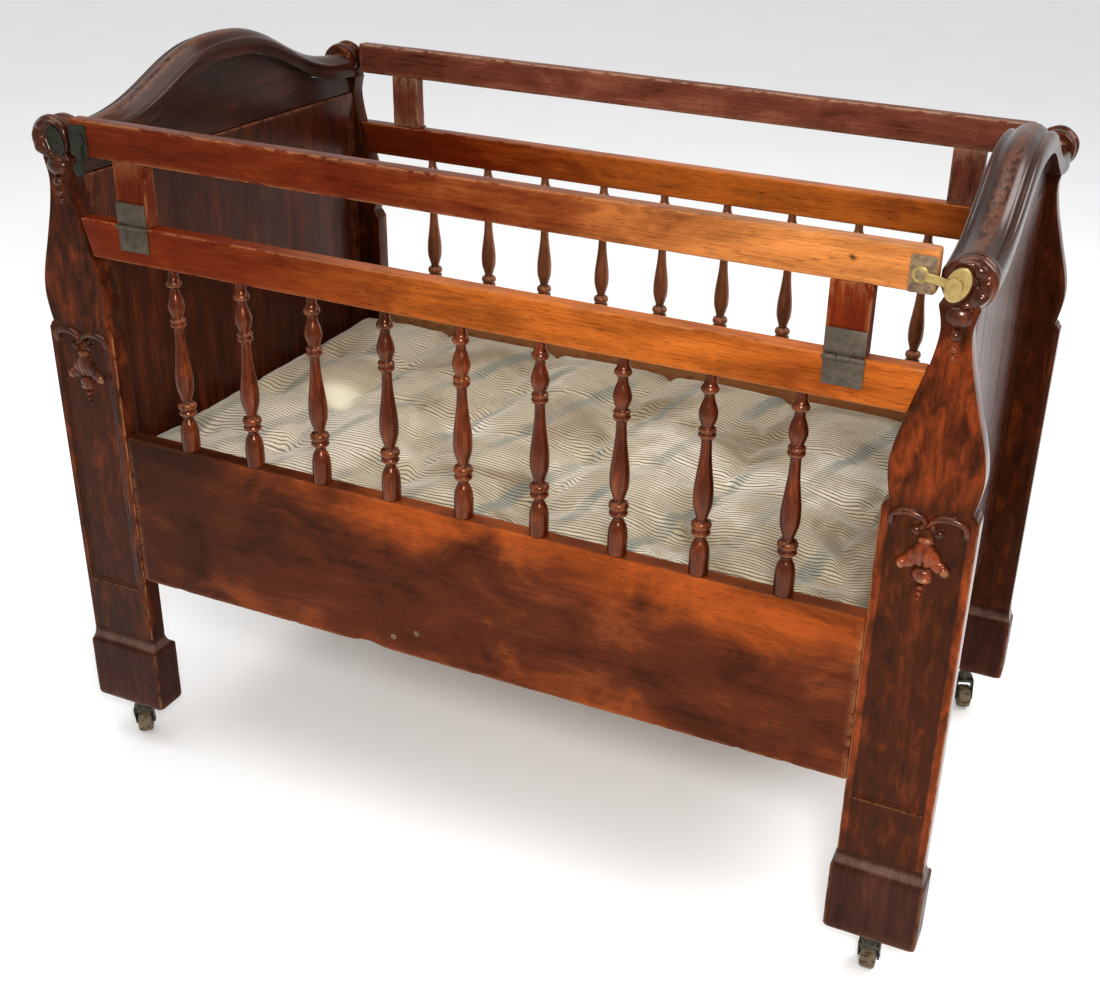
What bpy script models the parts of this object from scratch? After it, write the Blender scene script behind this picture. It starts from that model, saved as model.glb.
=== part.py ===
"""Baby crib with turned spindles, fold-down gates and casters.

Metres, +Z up, origin on the floor under the middle of the crib.
+X runs along the crib, and the front is on the -Y side.
"""
import math

import bmesh
import bpy
from mathutils import Matrix, Vector

# ---------------------------------------------------------------- driving dimensions
GAP = 0.0003                # clearance between pieces that touch

POST_X = 0.575              # centre line of the posts, from the middle
POST_FACE = 0.340           # outer face of the posts, from the middle
POST_THICK = 0.028
LEG_HALF = 0.0535           # half width of the straight leg
LEG_FOOT = 0.197            # where the leg stands on its foot block
SHOULDER = 0.6725           # where the straight leg ends
NECK_TOP = 0.909
# half width of the post above its shoulder nick: (height, half width)
LYRE = [(0.684, 0.0455), (0.700, 0.0490), (0.725, 0.0515), (0.755, 0.0472),
        (0.800, 0.0342), (0.845, 0.0220), (0.882, 0.0165), (NECK_TOP, 0.0215)]
KNOB_Z = 0.9345             # centre of the carved knob
KNOB_R = 0.029
KNOB_OUT = 0.006            # the knob sits this far outboard of the post's centre line

PANEL_HALF = 0.0445         # sunk panel on the leg
PANEL_LOW = 0.279
PANEL_SPRING = 0.664        # where the two scroll arches spring
PANEL_ARCH = 0.014
PANEL_DEPTH = 0.002

BLOCK_LOW = 0.072           # foot block
BLOCK_EDGE = 0.1735
BLOCK_OUT = 0.0055
BLOCK_FRONT = 0.346
BLOCK_BACK = 0.298

SIDE_FACE = 0.339           # outer face of the apron, spindle rail and gate
APRON_LOW, APRON_TOP, APRON_THICK = 0.300, 0.528, 0.024
RAIL_LOW, RAIL_TOP, RAIL_THICK = 0.785, 0.836, 0.024
GATE_LOW, GATE_TOP, GATE_THICK = 0.917, 0.964, 0.022
GATE_HALF_LENGTH = 0.5485
STILE_NEAR, STILE_FAR = 0.440, 0.4865

SPINDLE_COUNT = 9
SPINDLE_PITCH = 0.1049
SPINDLE_Y = 0.327
SPINDLE_TENON = 0.012
# turned profile from the top of a spindle to its bottom: (drop below the rail, radius)
SPINDLE = [(0.000, 0.0060), (0.009, 0.0066), (0.020, 0.0104), (0.025, 0.0066), (0.034, 0.0066),
           (0.050, 0.0111), (0.060, 0.0104), (0.069, 0.0094), (0.076, 0.0104), (0.083, 0.0064),
           (0.109, 0.0076), (0.153, 0.0121), (0.183, 0.0067), (0.191, 0.0122), (0.202, 0.0122),
           (0.209, 0.0068), (0.217, 0.0112), (0.223, 0.0124), (0.2564, 0.0122)]

END_INNER, END_OUTER = 0.560, 0.577     # lower end board
END_STEP = 0.0035                       # the upper board is thinner by this much
END_LEDGE = 0.884

CREST_BASE = 0.947          # crest rail, height of its top line near the posts
CREST_RISE = 0.077
CREST_SPREAD = 0.165
CREST_POWER = 2.6
CREST_DEPTH = 0.034
CREST_END = 0.3000
CREST_STATIONS = 28
# moulded section, from the inner foot over the top to the outer foot: (across, below the top line)
CREST_SECTION = [(-0.029, 0.034), (-0.029, 0.015), (-0.0270, 0.0105), (-0.0240, 0.0095),
                 (-0.0225, 0.0118), (-0.0165, 0.0075), (-0.0080, 0.0014), (0.0010, 0.0000),
                 (0.0105, 0.0022), (0.0160, 0.0078), (0.0180, 0.0100), (0.0200, 0.0080),
                 (0.0245, 0.0080), (0.0280, 0.0110), (0.029, 0.0160), (0.029, 0.034)]

LEDGER_LOW, LEDGER_TOP, LEDGER_DEEP = 0.386, 0.411, 0.020
LEDGER_HALF = 0.515
SLAT_COUNT, SLAT_WIDE, SLAT_THICK, SLAT_PITCH = 9, 0.080, 0.013, 0.122
SLAT_HALF = 0.3105
SLAT_HOUSED = 0.002         # the slats are let into the ledger strips
MATTRESS_HALF_X, MATTRESS_HALF_Y = 0.556, 0.3100
MATTRESS_TOP = 0.508

HINGE_Y, HINGE_Z = 0.3423, 0.8345       # centre of the hinge knuckles
KNUCKLE_R, KNUCKLE_BORE, PIN_R = 0.0030, 0.0015, 0.0012
KNUCKLE_WRAP = 290          # degrees that a leaf rolls round its pin
KNUCKLE_SPACE = 0.0002      # play at each side of a knuckle
LEAF_TALL = 0.032
LEAF_NEAR, LEAF_FAR = 0.4415, 0.4865

EYE_X, EYE_Z = 0.5325, 0.938            # pivot of a latch arm
STUD_X, STUD_Z, STUD_R = 0.5673, 0.9315, 0.0018     # stud of a latch keeper
KEEPER_X, KEEPER_Z = 0.5703, 0.9325     # middle of its oval plate
KEEPER_HALF_WIDE, KEEPER_HALF_TALL = 0.0125, 0.0195
KEEPER_TILT = 20.0           # top of the oval leans outboard, in degrees
ARM_R, ARM_HALF = 0.0090, 0.0048
ARM_BACK, ARM_FRONT, ARM_TIP_FRONT = 0.3423, 0.3446, 0.3476
LATCH_PLATE = (0.5205, 0.5480, 0.9175, 0.9575)  # near end, far end, bottom, top
PLATE_THICK = 0.0020
RIVET_R, RIVET_HEAD_R = 0.0023, 0.0052

WHEEL_R, WHEEL_WIDE = 0.0185, 0.020
CASTER_Y = 0.322
CASTER_TRAIL = 0.012
AXLE_R = 0.0021
STEM_TOP = 0.098            # top of a caster's stem, in its bore in the foot block
STEM_R, STEM_BORE_R = 0.0052, 0.0056
# swivel of each caster about its stem, in degrees, where it stands
CASTER_TURN = {"front_left": 35.0, "front_right": 4.0, "back_left": 155.0, "back_right": 200.0}

CORNERS = {"front_left": (-1, -1), "front_right": (1, -1), "back_left": (-1, 1), "back_right": (1, 1)}
SIDES = {"front": -1, "back": 1}
ENDS = {"left": -1, "right": 1}


# ---------------------------------------------------------------- small toolbox
def clear_scene():
    for old in list(bpy.data.objects):
        bpy.data.objects.remove(old, do_unlink=True)


def make_material(name, colour, roughness, metallic=0.0):
    material = bpy.data.materials.new(name)
    material.use_nodes = True
    shader = material.node_tree.nodes["Principled BSDF"]
    shader.inputs["Base Color"].default_value = (*colour, 1.0)
    shader.inputs["Roughness"].default_value = roughness
    shader.inputs["Metallic"].default_value = metallic
    material.diffuse_color = (*colour, 1.0)
    return material


def add_box(bm, low, high):
    centre = [(a + b) / 2 for a, b in zip(low, high)]
    size = [b - a for a, b in zip(low, high)]
    where = Matrix.Translation(centre) @ Matrix.Diagonal((*size, 1.0))
    bmesh.ops.create_cube(bm, size=1.0, matrix=where)


def add_prism(bm, outline, start, end, place):
    """Extrude a closed outline of (a, b) points from depth start to depth end.

    place(a, b, depth) gives the point in space.
    """
    near = [bm.verts.new(place(a, b, start)) for a, b in outline]
    far = [bm.verts.new(place(a, b, end)) for a, b in outline]
    bm.faces.new(near)
    bm.faces.new(list(reversed(far)))
    for i in range(len(outline)):
        j = (i + 1) % len(outline)
        bm.faces.new([near[j], near[i], far[i], far[j]])


def in_front_view(a, b, depth):
    """Outline in X and Z, depth along Y."""
    return Vector((a, depth, b))


def in_side_view(a, b, depth):
    """Outline in Y and Z, depth along X."""
    return Vector((depth, a, b))


def turned_rings(bm, profile, segments, place):
    """One ring of vertices for each (radius, height) pair."""
    angles = [2 * math.pi * i / segments for i in range(segments)]
    rings = []
    for radius, height in profile:
        rings.append([bm.verts.new(place(radius * math.cos(t), radius * math.sin(t), height))
                      for t in angles])
    return rings


def add_turned(bm, profile, segments, place):
    """Turn (radius, height) pairs about an axis; place(x, y, height) gives the point."""
    rings = turned_rings(bm, profile, segments, place)
    for upper, lower in zip(rings, rings[1:]):
        for i in range(segments):
            j = (i + 1) % segments
            bm.faces.new([upper[i], upper[j], lower[j], lower[i]])
    bm.faces.new(rings[0])
    bm.faces.new(list(reversed(rings[-1])))


def add_ring_turned(bm, profile, segments, place):
    """Turn a closed loop of (radius, height) pairs, which leaves a hole down the axis."""
    rings = turned_rings(bm, profile, segments, place)
    for k in range(len(rings)):
        this, after = rings[k], rings[(k + 1) % len(rings)]
        for i in range(segments):
            j = (i + 1) % segments
            bm.faces.new([this[i], this[j], after[j], after[i]])


def smooth_curve(knots, steps):
    """Points of a smooth curve through the knots."""
    points = []
    last = len(knots) - 1
    for i in range(last):
        before, start = knots[max(i - 1, 0)], knots[i]
        end, after = knots[i + 1], knots[min(i + 2, last)]
        for s in range(steps):
            t = s / steps
            points.append(tuple(0.5 * (2 * b + (c - a) * t + (2 * a - 5 * b + 4 * c - d) * t * t
                                       + (3 * b - a - 3 * c + d) * t ** 3)
                                for a, b, c, d in zip(before, start, end, after)))
    points.append(tuple(knots[-1]))
    return points


def arc(centre, radius, start, end, steps):
    """Points of an arc in degrees, both ends included."""
    turns = [math.radians(start + (end - start) * i / steps) for i in range(steps + 1)]
    return [(centre[0] + radius * math.cos(t), centre[1] + radius * math.sin(t)) for t in turns]


def to_mesh(name, bm):
    bmesh.ops.recalc_face_normals(bm, faces=bm.faces[:])
    mesh = bpy.data.meshes.new(name)
    bm.to_mesh(mesh)
    bm.free()
    return mesh


def combine(name, base, changes):
    """Apply exact Booleans to a mesh: changes is a list of (operation, mesh)."""
    body = bpy.data.objects.new(name, base)
    bpy.context.collection.objects.link(body)
    tools = []
    for operation, mesh in changes:
        tool = bpy.data.objects.new(name + "_tool", mesh)
        bpy.context.collection.objects.link(tool)
        tools.append(tool)
        step = body.modifiers.new(operation, "BOOLEAN")
        step.operation = operation
        step.solver = "EXACT"
        step.object = tool
    bpy.context.view_layer.update()
    result = bpy.data.meshes.new_from_object(body.evaluated_get(bpy.context.evaluated_depsgraph_get()))
    for used in [body, *tools]:
        bpy.data.objects.remove(used, do_unlink=True)
    return result


def mirrored(mesh, sign_x, sign_y):
    """A copy of a mesh, mirrored through the planes X = 0 and Y = 0 where the sign is -1."""
    bm = bmesh.new()
    bm.from_mesh(mesh)
    bmesh.ops.transform(bm, matrix=Matrix.Diagonal((sign_x, sign_y, 1.0, 1.0)), verts=bm.verts[:])
    return to_mesh(mesh.name, bm)


def add_part(name, mesh, material, pivot=(0, 0, 0), parent=None, smooth=None):
    """Make an object of a mesh given in world space, with its origin at the pivot."""
    pivot = Vector(pivot)
    mesh = mesh.copy()
    mesh.name = name
    mesh.transform(Matrix.Translation(-pivot))
    mesh.materials.clear()
    mesh.materials.append(material)
    part = bpy.data.objects.new(name, mesh)
    bpy.context.collection.objects.link(part)
    part.parent = parent
    part.location = pivot - (parent.location if parent else Vector((0, 0, 0)))
    if smooth is not None:
        mesh.shade_smooth()
        mesh.set_sharp_from_angle(angle=math.radians(smooth))
    return part


def add_pivot(name, location):
    pivot = bpy.data.objects.new(name, None)
    bpy.context.collection.objects.link(pivot)
    pivot.location = location
    pivot.empty_display_size = 0.03
    return pivot


# ---------------------------------------------------------------- posts and foot blocks
def lyre_half_width(z):
    """Half width of a post at a height above its shoulder nick."""
    curve = smooth_curve(LYRE, 6)
    for (z0, w0), (z1, w1) in zip(curve, curve[1:]):
        if z <= z1:
            return w0 + (w1 - w0) * (z - z0) / (z1 - z0)
    return curve[-1][1]


def post_outline():
    """Half outline of a post, foot to neck, as (half width, height)."""
    leg = [(LEG_HALF, LEG_FOOT), (LEG_HALF, SHOULDER), (LEG_HALF - 0.0035, SHOULDER + 0.0065)]
    lyre = [(half, z) for z, half in smooth_curve(LYRE, 2)]
    inside_knob = [(0.0165, NECK_TOP + 0.010), (0.010, NECK_TOP + 0.018)]
    return leg + lyre + inside_knob


def panel_outline():
    """Sunk panel on the leg: straight sides and two scroll arches."""
    arch = PANEL_HALF / 2
    points = [(-PANEL_HALF, PANEL_LOW)]
    for centre, first in ((-arch, 0), (arch, 1)):
        for x, z in arc((0, 0), 1.0, 180, 0, 8)[first:]:
            points.append((centre + arch * x, PANEL_SPRING + PANEL_ARCH * z))
    points.append((PANEL_HALF, PANEL_LOW))
    return points


def add_relief(bm, x, z, radius, low, high, segments):
    """A low round boss on the face of a post."""
    profile = [(radius, low), (radius, (low + high) / 2), (radius * 0.6, high)]
    add_turned(bm, profile, segments, lambda a, b, height: Vector((x + a, height, z + b)))


def flower_outline():
    """Carved bell flower, hanging, three petals."""
    right = [(0.000, 0.646), (0.006, 0.641), (0.0135, 0.630), (0.018, 0.620), (0.029, 0.616),
             (0.0285, 0.606), (0.0155, 0.604), (0.0105, 0.596), (0.000, 0.5895)]
    left = [(-x, z) for x, z in reversed(right[1:-1])]
    return right + left


def make_post_mesh():
    """Post of the front right corner, without its corner's shift, so its centre line is at X = 0."""
    board = bmesh.new()
    half = post_outline()
    outline = half + [(-w, z) for w, z in reversed(half)]
    add_prism(board, outline, -POST_FACE, -(POST_FACE - POST_THICK), in_front_view)

    knob = bmesh.new()
    knob_profile = [(KNOB_R * 0.90, POST_FACE), (KNOB_R, POST_FACE - 0.004), (KNOB_R, POST_FACE - 0.012),
                    (KNOB_R * 0.86, POST_FACE - 0.0165), (KNOB_R * 0.93, POST_FACE - 0.022),
                    (KNOB_R * 0.93, POST_FACE - 0.034), (KNOB_R * 0.80, CREST_END + GAP)]
    add_turned(knob, knob_profile, 16, lambda a, b, height: Vector((KNOB_OUT + a, -height, KNOB_Z + b)))

    sunk = bmesh.new()
    add_prism(sunk, panel_outline(), -(POST_FACE + 0.01), -(POST_FACE - PANEL_DEPTH), in_front_view)

    carving = bmesh.new()
    field = POST_FACE - PANEL_DEPTH
    add_prism(carving, flower_outline(), -(field - 0.001), -(field + 0.0028), in_front_view)
    volutes_and_beads = ((-0.0128, 0.6525, 0.0058), (0.0128, 0.6525, 0.0058),
                         (0, 0.5835, 0.0038), (0, 0.5755, 0.0028))
    for x, z, radius in volutes_and_beads:
        add_relief(carving, x, z, radius, -(field - 0.001), -(field + 0.0025), 10)
    for z, radius in ((0.8980, 0.0095), (0.8790, 0.0058), (0.8650, 0.0042)):
        add_relief(carving, 0, z, radius, -(POST_FACE - 0.001), -(POST_FACE + 0.0022), 10)
    button_x, button_z, button_radius = KNOB_OUT + 0.0130, KNOB_Z - 0.0110, 0.0078
    add_relief(carving, button_x, button_z, button_radius, -(POST_FACE - 0.001), -(POST_FACE + 0.0030), 12)

    return combine("post", to_mesh("post", board), [("UNION", to_mesh("knob", knob)),
                                                    ("DIFFERENCE", to_mesh("sunk", sunk)),
                                                    ("UNION", to_mesh("carving", carving))])


def make_block_mesh():
    """Foot block with a coved top edge, centre line at X = 0, on the front side."""
    half = LEG_HALF + BLOCK_OUT
    back = POST_FACE - POST_THICK
    rise = LEG_FOOT - BLOCK_EDGE
    # each level is (height, half width, front, back)
    levels = [(BLOCK_LOW, half - 0.002, BLOCK_FRONT - 0.002, BLOCK_BACK + 0.002),
              (BLOCK_LOW + 0.003, half, BLOCK_FRONT, BLOCK_BACK),
              (BLOCK_EDGE, half, BLOCK_FRONT, BLOCK_BACK)]
    for part in (0.25, 0.6, 1.0):
        ease = 1 - (1 - part) ** 2
        levels.append((BLOCK_EDGE + (rise - GAP) * part, half - BLOCK_OUT * ease,
                       BLOCK_FRONT - (BLOCK_FRONT - POST_FACE) * ease,
                       BLOCK_BACK + (back - BLOCK_BACK) * ease))
    bm = bmesh.new()
    rings = []
    for z, wide, front, rear in levels:
        corners = ((-wide, -front), (wide, -front), (wide, -rear), (-wide, -rear))
        rings.append([bm.verts.new((x, y, z)) for x, y in corners])
    for lower, upper in zip(rings, rings[1:]):
        for i in range(4):
            j = (i + 1) % 4
            bm.faces.new([lower[i], lower[j], upper[j], upper[i]])
    bm.faces.new(list(reversed(rings[0])))
    bm.faces.new(rings[-1])
    bore = bmesh.new()
    add_turned(bore, [(STEM_BORE_R, STEM_TOP + 0.001), (STEM_BORE_R, BLOCK_LOW - 0.01)], 14,
               lambda a, b, height: Vector((a, b - CASTER_Y, height)))
    return combine("foot_block", to_mesh("block", bm), [("DIFFERENCE", to_mesh("bore", bore))])


def build_posts(wood, dark_wood):
    post = make_post_mesh()
    block = make_block_mesh()
    for corner, (sign_x, sign_y) in CORNERS.items():
        for label, mesh, material in (("post", post, wood), ("foot_block", block, dark_wood)):
            copy = mirrored(mesh, sign_x, -sign_y)
            copy.transform(Matrix.Translation((sign_x * POST_X, 0, 0)))
            add_part(f"{label}_{corner}", copy, material)


# ---------------------------------------------------------------- sides
def add_spindle(bm, x, sign, tenon):
    """One turned spindle; a tenon longer than zero runs up into the rail."""
    top = RAIL_LOW - GAP
    profile = [(radius, top - drop) for drop, radius in SPINDLE]
    if tenon > 0:
        profile[0] = (SPINDLE[0][1], top + tenon)
    add_turned(bm, profile, 10, lambda a, b, height: Vector((x + a, sign * SPINDLE_Y + b, height)))


def build_sides(wood, apron_wood, spindle_wood):
    places = [(i - (SPINDLE_COUNT - 1) / 2) * SPINDLE_PITCH for i in range(SPINDLE_COUNT)]
    for side, sign in SIDES.items():
        apron = bmesh.new()
        reach = POST_X - LEG_HALF - GAP
        faces = sorted((sign * SIDE_FACE, sign * (SIDE_FACE - APRON_THICK)))
        add_box(apron, (-reach, faces[0], APRON_LOW), (reach, faces[1], APRON_TOP))
        add_part(f"apron_{side}", to_mesh("apron", apron), apron_wood)

        rail = bmesh.new()
        levels = [RAIL_LOW, (RAIL_LOW + RAIL_TOP) / 2, RAIL_TOP]
        right = [(POST_X - lyre_half_width(z) - GAP, z) for z in levels]
        outline = right + [(-x, z) for x, z in reversed(right)]
        add_prism(rail, outline, sign * SIDE_FACE, sign * (SIDE_FACE - RAIL_THICK), in_front_view)
        rail = to_mesh("spindle_rail", rail)

        if side == "front":
            add_part("spindle_rail_front", rail, wood)
            for number, x in enumerate(places, start=1):
                spindle = bmesh.new()
                add_spindle(spindle, x, sign, 0)
                add_part(f"spindle_front_{number}", to_mesh("spindle", spindle), spindle_wood, smooth=50)
        else:
            # the back rail and its nine spindles are one solid
            spindles = bmesh.new()
            for x in places:
                add_spindle(spindles, x, sign, SPINDLE_TENON)
            balustrade = combine("balustrade", rail, [("UNION", to_mesh("spindles", spindles))])
            add_part("balustrade_back", balustrade, spindle_wood, smooth=50)


# ---------------------------------------------------------------- ends
def crest_top(y):
    """Height of the crest rail's top line."""
    return CREST_BASE + CREST_RISE * math.exp(-(abs(y) / CREST_SPREAD) ** CREST_POWER)


def crest_stations():
    return [-CREST_END + 2 * CREST_END * i / CREST_STATIONS for i in range(CREST_STATIONS + 1)]


def build_crest(sign, wood, name):
    bm = bmesh.new()
    rings = []
    for y in crest_stations():
        top = crest_top(y)
        rings.append([bm.verts.new((sign * (POST_X + across), y, top - below))
                      for across, below in CREST_SECTION])
    count = len(CREST_SECTION)
    for first, second in zip(rings, rings[1:]):
        for k in range(count):
            m = (k + 1) % count
            bm.faces.new([first[k], first[m], second[m], second[k]])
    bm.faces.new(rings[0])
    bm.faces.new(list(reversed(rings[-1])))
    add_part(name, to_mesh(name, bm), wood, smooth=40)


def build_ends(wood, dark_wood):
    reach = POST_FACE - POST_THICK - GAP
    for end, sign in ENDS.items():
        build_crest(sign, dark_wood, f"crest_rail_{end}")

        upper = bmesh.new()
        curve = crest_stations()
        outline = [(-reach, END_LEDGE + GAP), (reach, END_LEDGE + GAP)]
        low_top = KNOB_Z - KNOB_R * 0.93 - 0.002
        outline += [(reach, low_top), (CREST_END, low_top)]
        outline += [(y, crest_top(y) - CREST_DEPTH - GAP) for y in reversed(curve[1:-1])]
        outline += [(-CREST_END, low_top), (-reach, low_top)]
        add_prism(upper, outline, sign * (END_INNER + END_STEP), sign * END_OUTER, in_side_view)
        add_part(f"upper_end_board_{end}", to_mesh("upper_end_board", upper), dark_wood)

        lower = bmesh.new()
        across = sorted((sign * END_INNER, sign * END_OUTER))
        add_box(lower, (across[0], -reach, APRON_LOW), (across[1], reach, END_LEDGE))
        add_part(f"lower_end_board_{end}", to_mesh("lower_end_board", lower), wood)


# ---------------------------------------------------------------- bottom and mattress
def build_bottom(wood, ticking):
    ledgers = bmesh.new()
    outer = SIDE_FACE - APRON_THICK - GAP
    for sign in SIDES.values():
        across = sorted((sign * outer, sign * (outer - LEDGER_DEEP)))
        add_box(ledgers, (-LEDGER_HALF, across[0], LEDGER_LOW), (LEDGER_HALF, across[1], LEDGER_TOP))
    slats = bmesh.new()
    slat_low = LEDGER_TOP - SLAT_HOUSED
    slat_top = slat_low + SLAT_THICK
    for i in range(SLAT_COUNT):
        x = (i - (SLAT_COUNT - 1) / 2) * SLAT_PITCH
        half = SLAT_WIDE / 2
        add_box(slats, (x - half, -SLAT_HALF, slat_low), (x + half, SLAT_HALF, slat_top))
    base = combine("slat_base", to_mesh("ledgers", ledgers), [("UNION", to_mesh("slats", slats))])
    add_part("slat_base", base, wood)

    mattress = bmesh.new()
    low = slat_top + GAP
    soft = 0.016
    # each level is (height, inset from the full size)
    levels = [(low, soft), (low + 0.4 * soft, 0.3 * soft), (low + soft, 0.0), (MATTRESS_TOP - soft, 0.0),
              (MATTRESS_TOP - 0.4 * soft, 0.3 * soft), (MATTRESS_TOP, soft)]
    rings = []
    for z, inset in levels:
        half_x, half_y, round_off = MATTRESS_HALF_X - inset, MATTRESS_HALF_Y - inset, 0.02
        ring = []
        for turn, (sx, sy) in enumerate(((1, 1), (-1, 1), (-1, -1), (1, -1))):
            centre = (sx * (half_x - round_off), sy * (half_y - round_off))
            ring += arc(centre, round_off, 90 * turn, 90 * turn + 90, 3)
        rings.append([mattress.verts.new((x, y, z)) for x, y in ring])
    for lower, upper in zip(rings, rings[1:]):
        for i in range(len(lower)):
            j = (i + 1) % len(lower)
            mattress.faces.new([lower[i], lower[j], upper[j], upper[i]])
    mattress.faces.new(list(reversed(rings[0])))
    mattress.faces.new(rings[-1])
    add_part("mattress", to_mesh("mattress", mattress), ticking, smooth=40)


# ---------------------------------------------------------------- gates and hinges
def gate_outline():
    """A gate from the front: a top rail and two short stiles."""
    right = [(GATE_HALF_LENGTH, GATE_TOP), (GATE_HALF_LENGTH, GATE_LOW), (STILE_FAR, GATE_LOW),
             (STILE_FAR, RAIL_TOP + GAP), (STILE_NEAR, RAIL_TOP + GAP), (STILE_NEAR, GATE_LOW)]
    return right + [(-x, z) for x, z in reversed(right)]


def build_gates(wood, iron, brass):
    for side, sign in SIDES.items():
        hinge = add_pivot(f"gate_hinge_{side}", (0, sign * HINGE_Y, HINGE_Z))
        frame = bmesh.new()
        back = SIDE_FACE - GATE_THICK
        add_prism(frame, gate_outline(), sign * SIDE_FACE, sign * back, in_front_view)
        add_part(f"gate_{side}", to_mesh("gate", frame), wood, hinge.location, hinge)
        for end, along in ENDS.items():
            build_hinge(f"{side}_{end}", along, sign, hinge, iron)
            build_latch_plate(f"{side}_{end}", along, sign, hinge, brass)


def build_hinge(place_name, along, sign, hinge, iron):
    """The gate's leaf has the middle knuckle; the rail's leaf has the outer two and the pin."""
    third = (LEAF_FAR - LEAF_NEAR) / 3
    cuts = [along * (LEAF_NEAR + third * i) for i in range(4)]
    near, far = HINGE_Y - KNUCKLE_R, HINGE_Y - KNUCKLE_BORE

    def side_view(a, b, depth):
        return Vector((depth, sign * a, b))

    def leaf(up, spans):
        flat = bmesh.new()
        start, stop = HINGE_Z + up * (KNUCKLE_R + 0.0006), HINGE_Z + up * LEAF_TALL
        outline = [(near, start), (far, start), (far, stop), (near, stop)]
        add_prism(flat, outline, cuts[0], cuts[3], side_view)
        rolls = bmesh.new()
        outer = arc((HINGE_Y, HINGE_Z), KNUCKLE_R, 180, 180 + up * KNUCKLE_WRAP, 9)
        inner = arc((HINGE_Y, HINGE_Z), KNUCKLE_BORE, 180 + up * KNUCKLE_WRAP, 180, 9)
        neck = HINGE_Z + up * (KNUCKLE_R + 0.002)
        outline = [(near, neck)] + outer + inner + [(far, neck)]
        for first, last in spans:
            inset = KNUCKLE_SPACE * along
            add_prism(rolls, outline, cuts[first] + inset, cuts[last] - inset, side_view)
        return to_mesh("flat", flat), to_mesh("rolls", rolls)

    flat, rolls = leaf(1, [(1, 2)])
    gate_leaf = combine("leaf", flat, [("UNION", rolls)])
    add_part(f"hinge_gate_leaf_{place_name}", gate_leaf, iron, hinge.location, hinge)

    flat, rolls = leaf(-1, [(0, 1), (2, 3)])
    pin = bmesh.new()
    ends = (cuts[0] - 0.0010 * along, cuts[3] + 0.0010 * along)
    add_prism(pin, arc((HINGE_Y, HINGE_Z), PIN_R, 0, 324, 9), ends[0], ends[1], side_view)
    heads = bmesh.new()
    head = arc((HINGE_Y, HINGE_Z), KNUCKLE_R * 0.9, 0, 324, 9)
    for end, inward in ((ends[0], along), (ends[1], -along)):
        add_prism(heads, head, end, end + 0.0016 * inward, side_view)
    changes = [("UNION", rolls), ("UNION", to_mesh("pin", pin)), ("UNION", to_mesh("heads", heads))]
    add_part(f"hinge_rail_leaf_{place_name}", combine("leaf", flat, changes), iron)


# ---------------------------------------------------------------- latches
def build_latch_plate(place_name, along, sign, hinge, brass):
    """Plate on the end of the gate's rail, with the rivet that the latch arm turns on."""
    near, far, low, high = LATCH_PLATE
    flat = bmesh.new()
    across = sorted((along * near, along * far))
    faces = sorted((sign * (SIDE_FACE + GAP), sign * (SIDE_FACE + PLATE_THICK)))
    add_box(flat, (across[0], faces[0], low), (across[1], faces[1], high))
    rivet = bmesh.new()
    profile = [(RIVET_R, SIDE_FACE + PLATE_THICK / 2), (RIVET_R, ARM_FRONT + GAP),
               (RIVET_HEAD_R, ARM_FRONT + GAP), (RIVET_HEAD_R * 0.85, ARM_FRONT + 0.0014),
               (RIVET_HEAD_R * 0.45, ARM_FRONT + 0.0020)]
    add_turned(rivet, profile, 12,
               lambda a, b, height: Vector((along * EYE_X + a, sign * height, EYE_Z + b)))
    plate = combine("latch_plate", to_mesh("flat", flat), [("UNION", to_mesh("rivet", rivet))])
    add_part(f"latch_plate_{place_name}", plate, brass, hinge.location, hinge)


def make_arm_mesh():
    """Latch arm for the front right corner: an eye, a bar and a thick round end with a blind slot."""
    reach = math.hypot(STUD_X - EYE_X, STUD_Z - EYE_Z)
    lean = math.asin(ARM_HALF / ARM_R)
    spread = math.degrees(lean)
    flat = bmesh.new()
    outline = arc((0, 0), ARM_R, spread, 360 - spread, 14)
    outline += arc((reach, 0), ARM_R, -180 + spread, 180 - spread, 14)
    add_prism(flat, outline, -ARM_BACK, -ARM_FRONT, in_front_view)
    hole = bmesh.new()
    eye = arc((0, 0), RIVET_R + 0.0005, 0, 330, 11)
    add_prism(hole, eye, -ARM_BACK + 0.01, -ARM_FRONT - 0.01, in_front_view)
    tip = bmesh.new()
    tip_r = ARM_R - 0.0012
    profile = [(tip_r, ARM_FRONT - 0.001), (tip_r, ARM_TIP_FRONT - 0.0008), (tip_r - 0.0012, ARM_TIP_FRONT)]
    add_turned(tip, profile, 16, lambda a, b, height: Vector((reach + a, -height, b)))
    slot = bmesh.new()
    slot_half, slot_top, slot_deep = 0.0032, 0.0026, 0.0028
    add_box(slot, (reach - slot_half, -(ARM_BACK + slot_deep), -0.02),
            (reach + slot_half, -ARM_BACK + 0.01, slot_top))
    return combine("latch_arm", to_mesh("flat", flat), [("UNION", to_mesh("tip", tip)),
                                                        ("DIFFERENCE", to_mesh("hole", hole)),
                                                        ("DIFFERENCE", to_mesh("slot", slot))])


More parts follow.
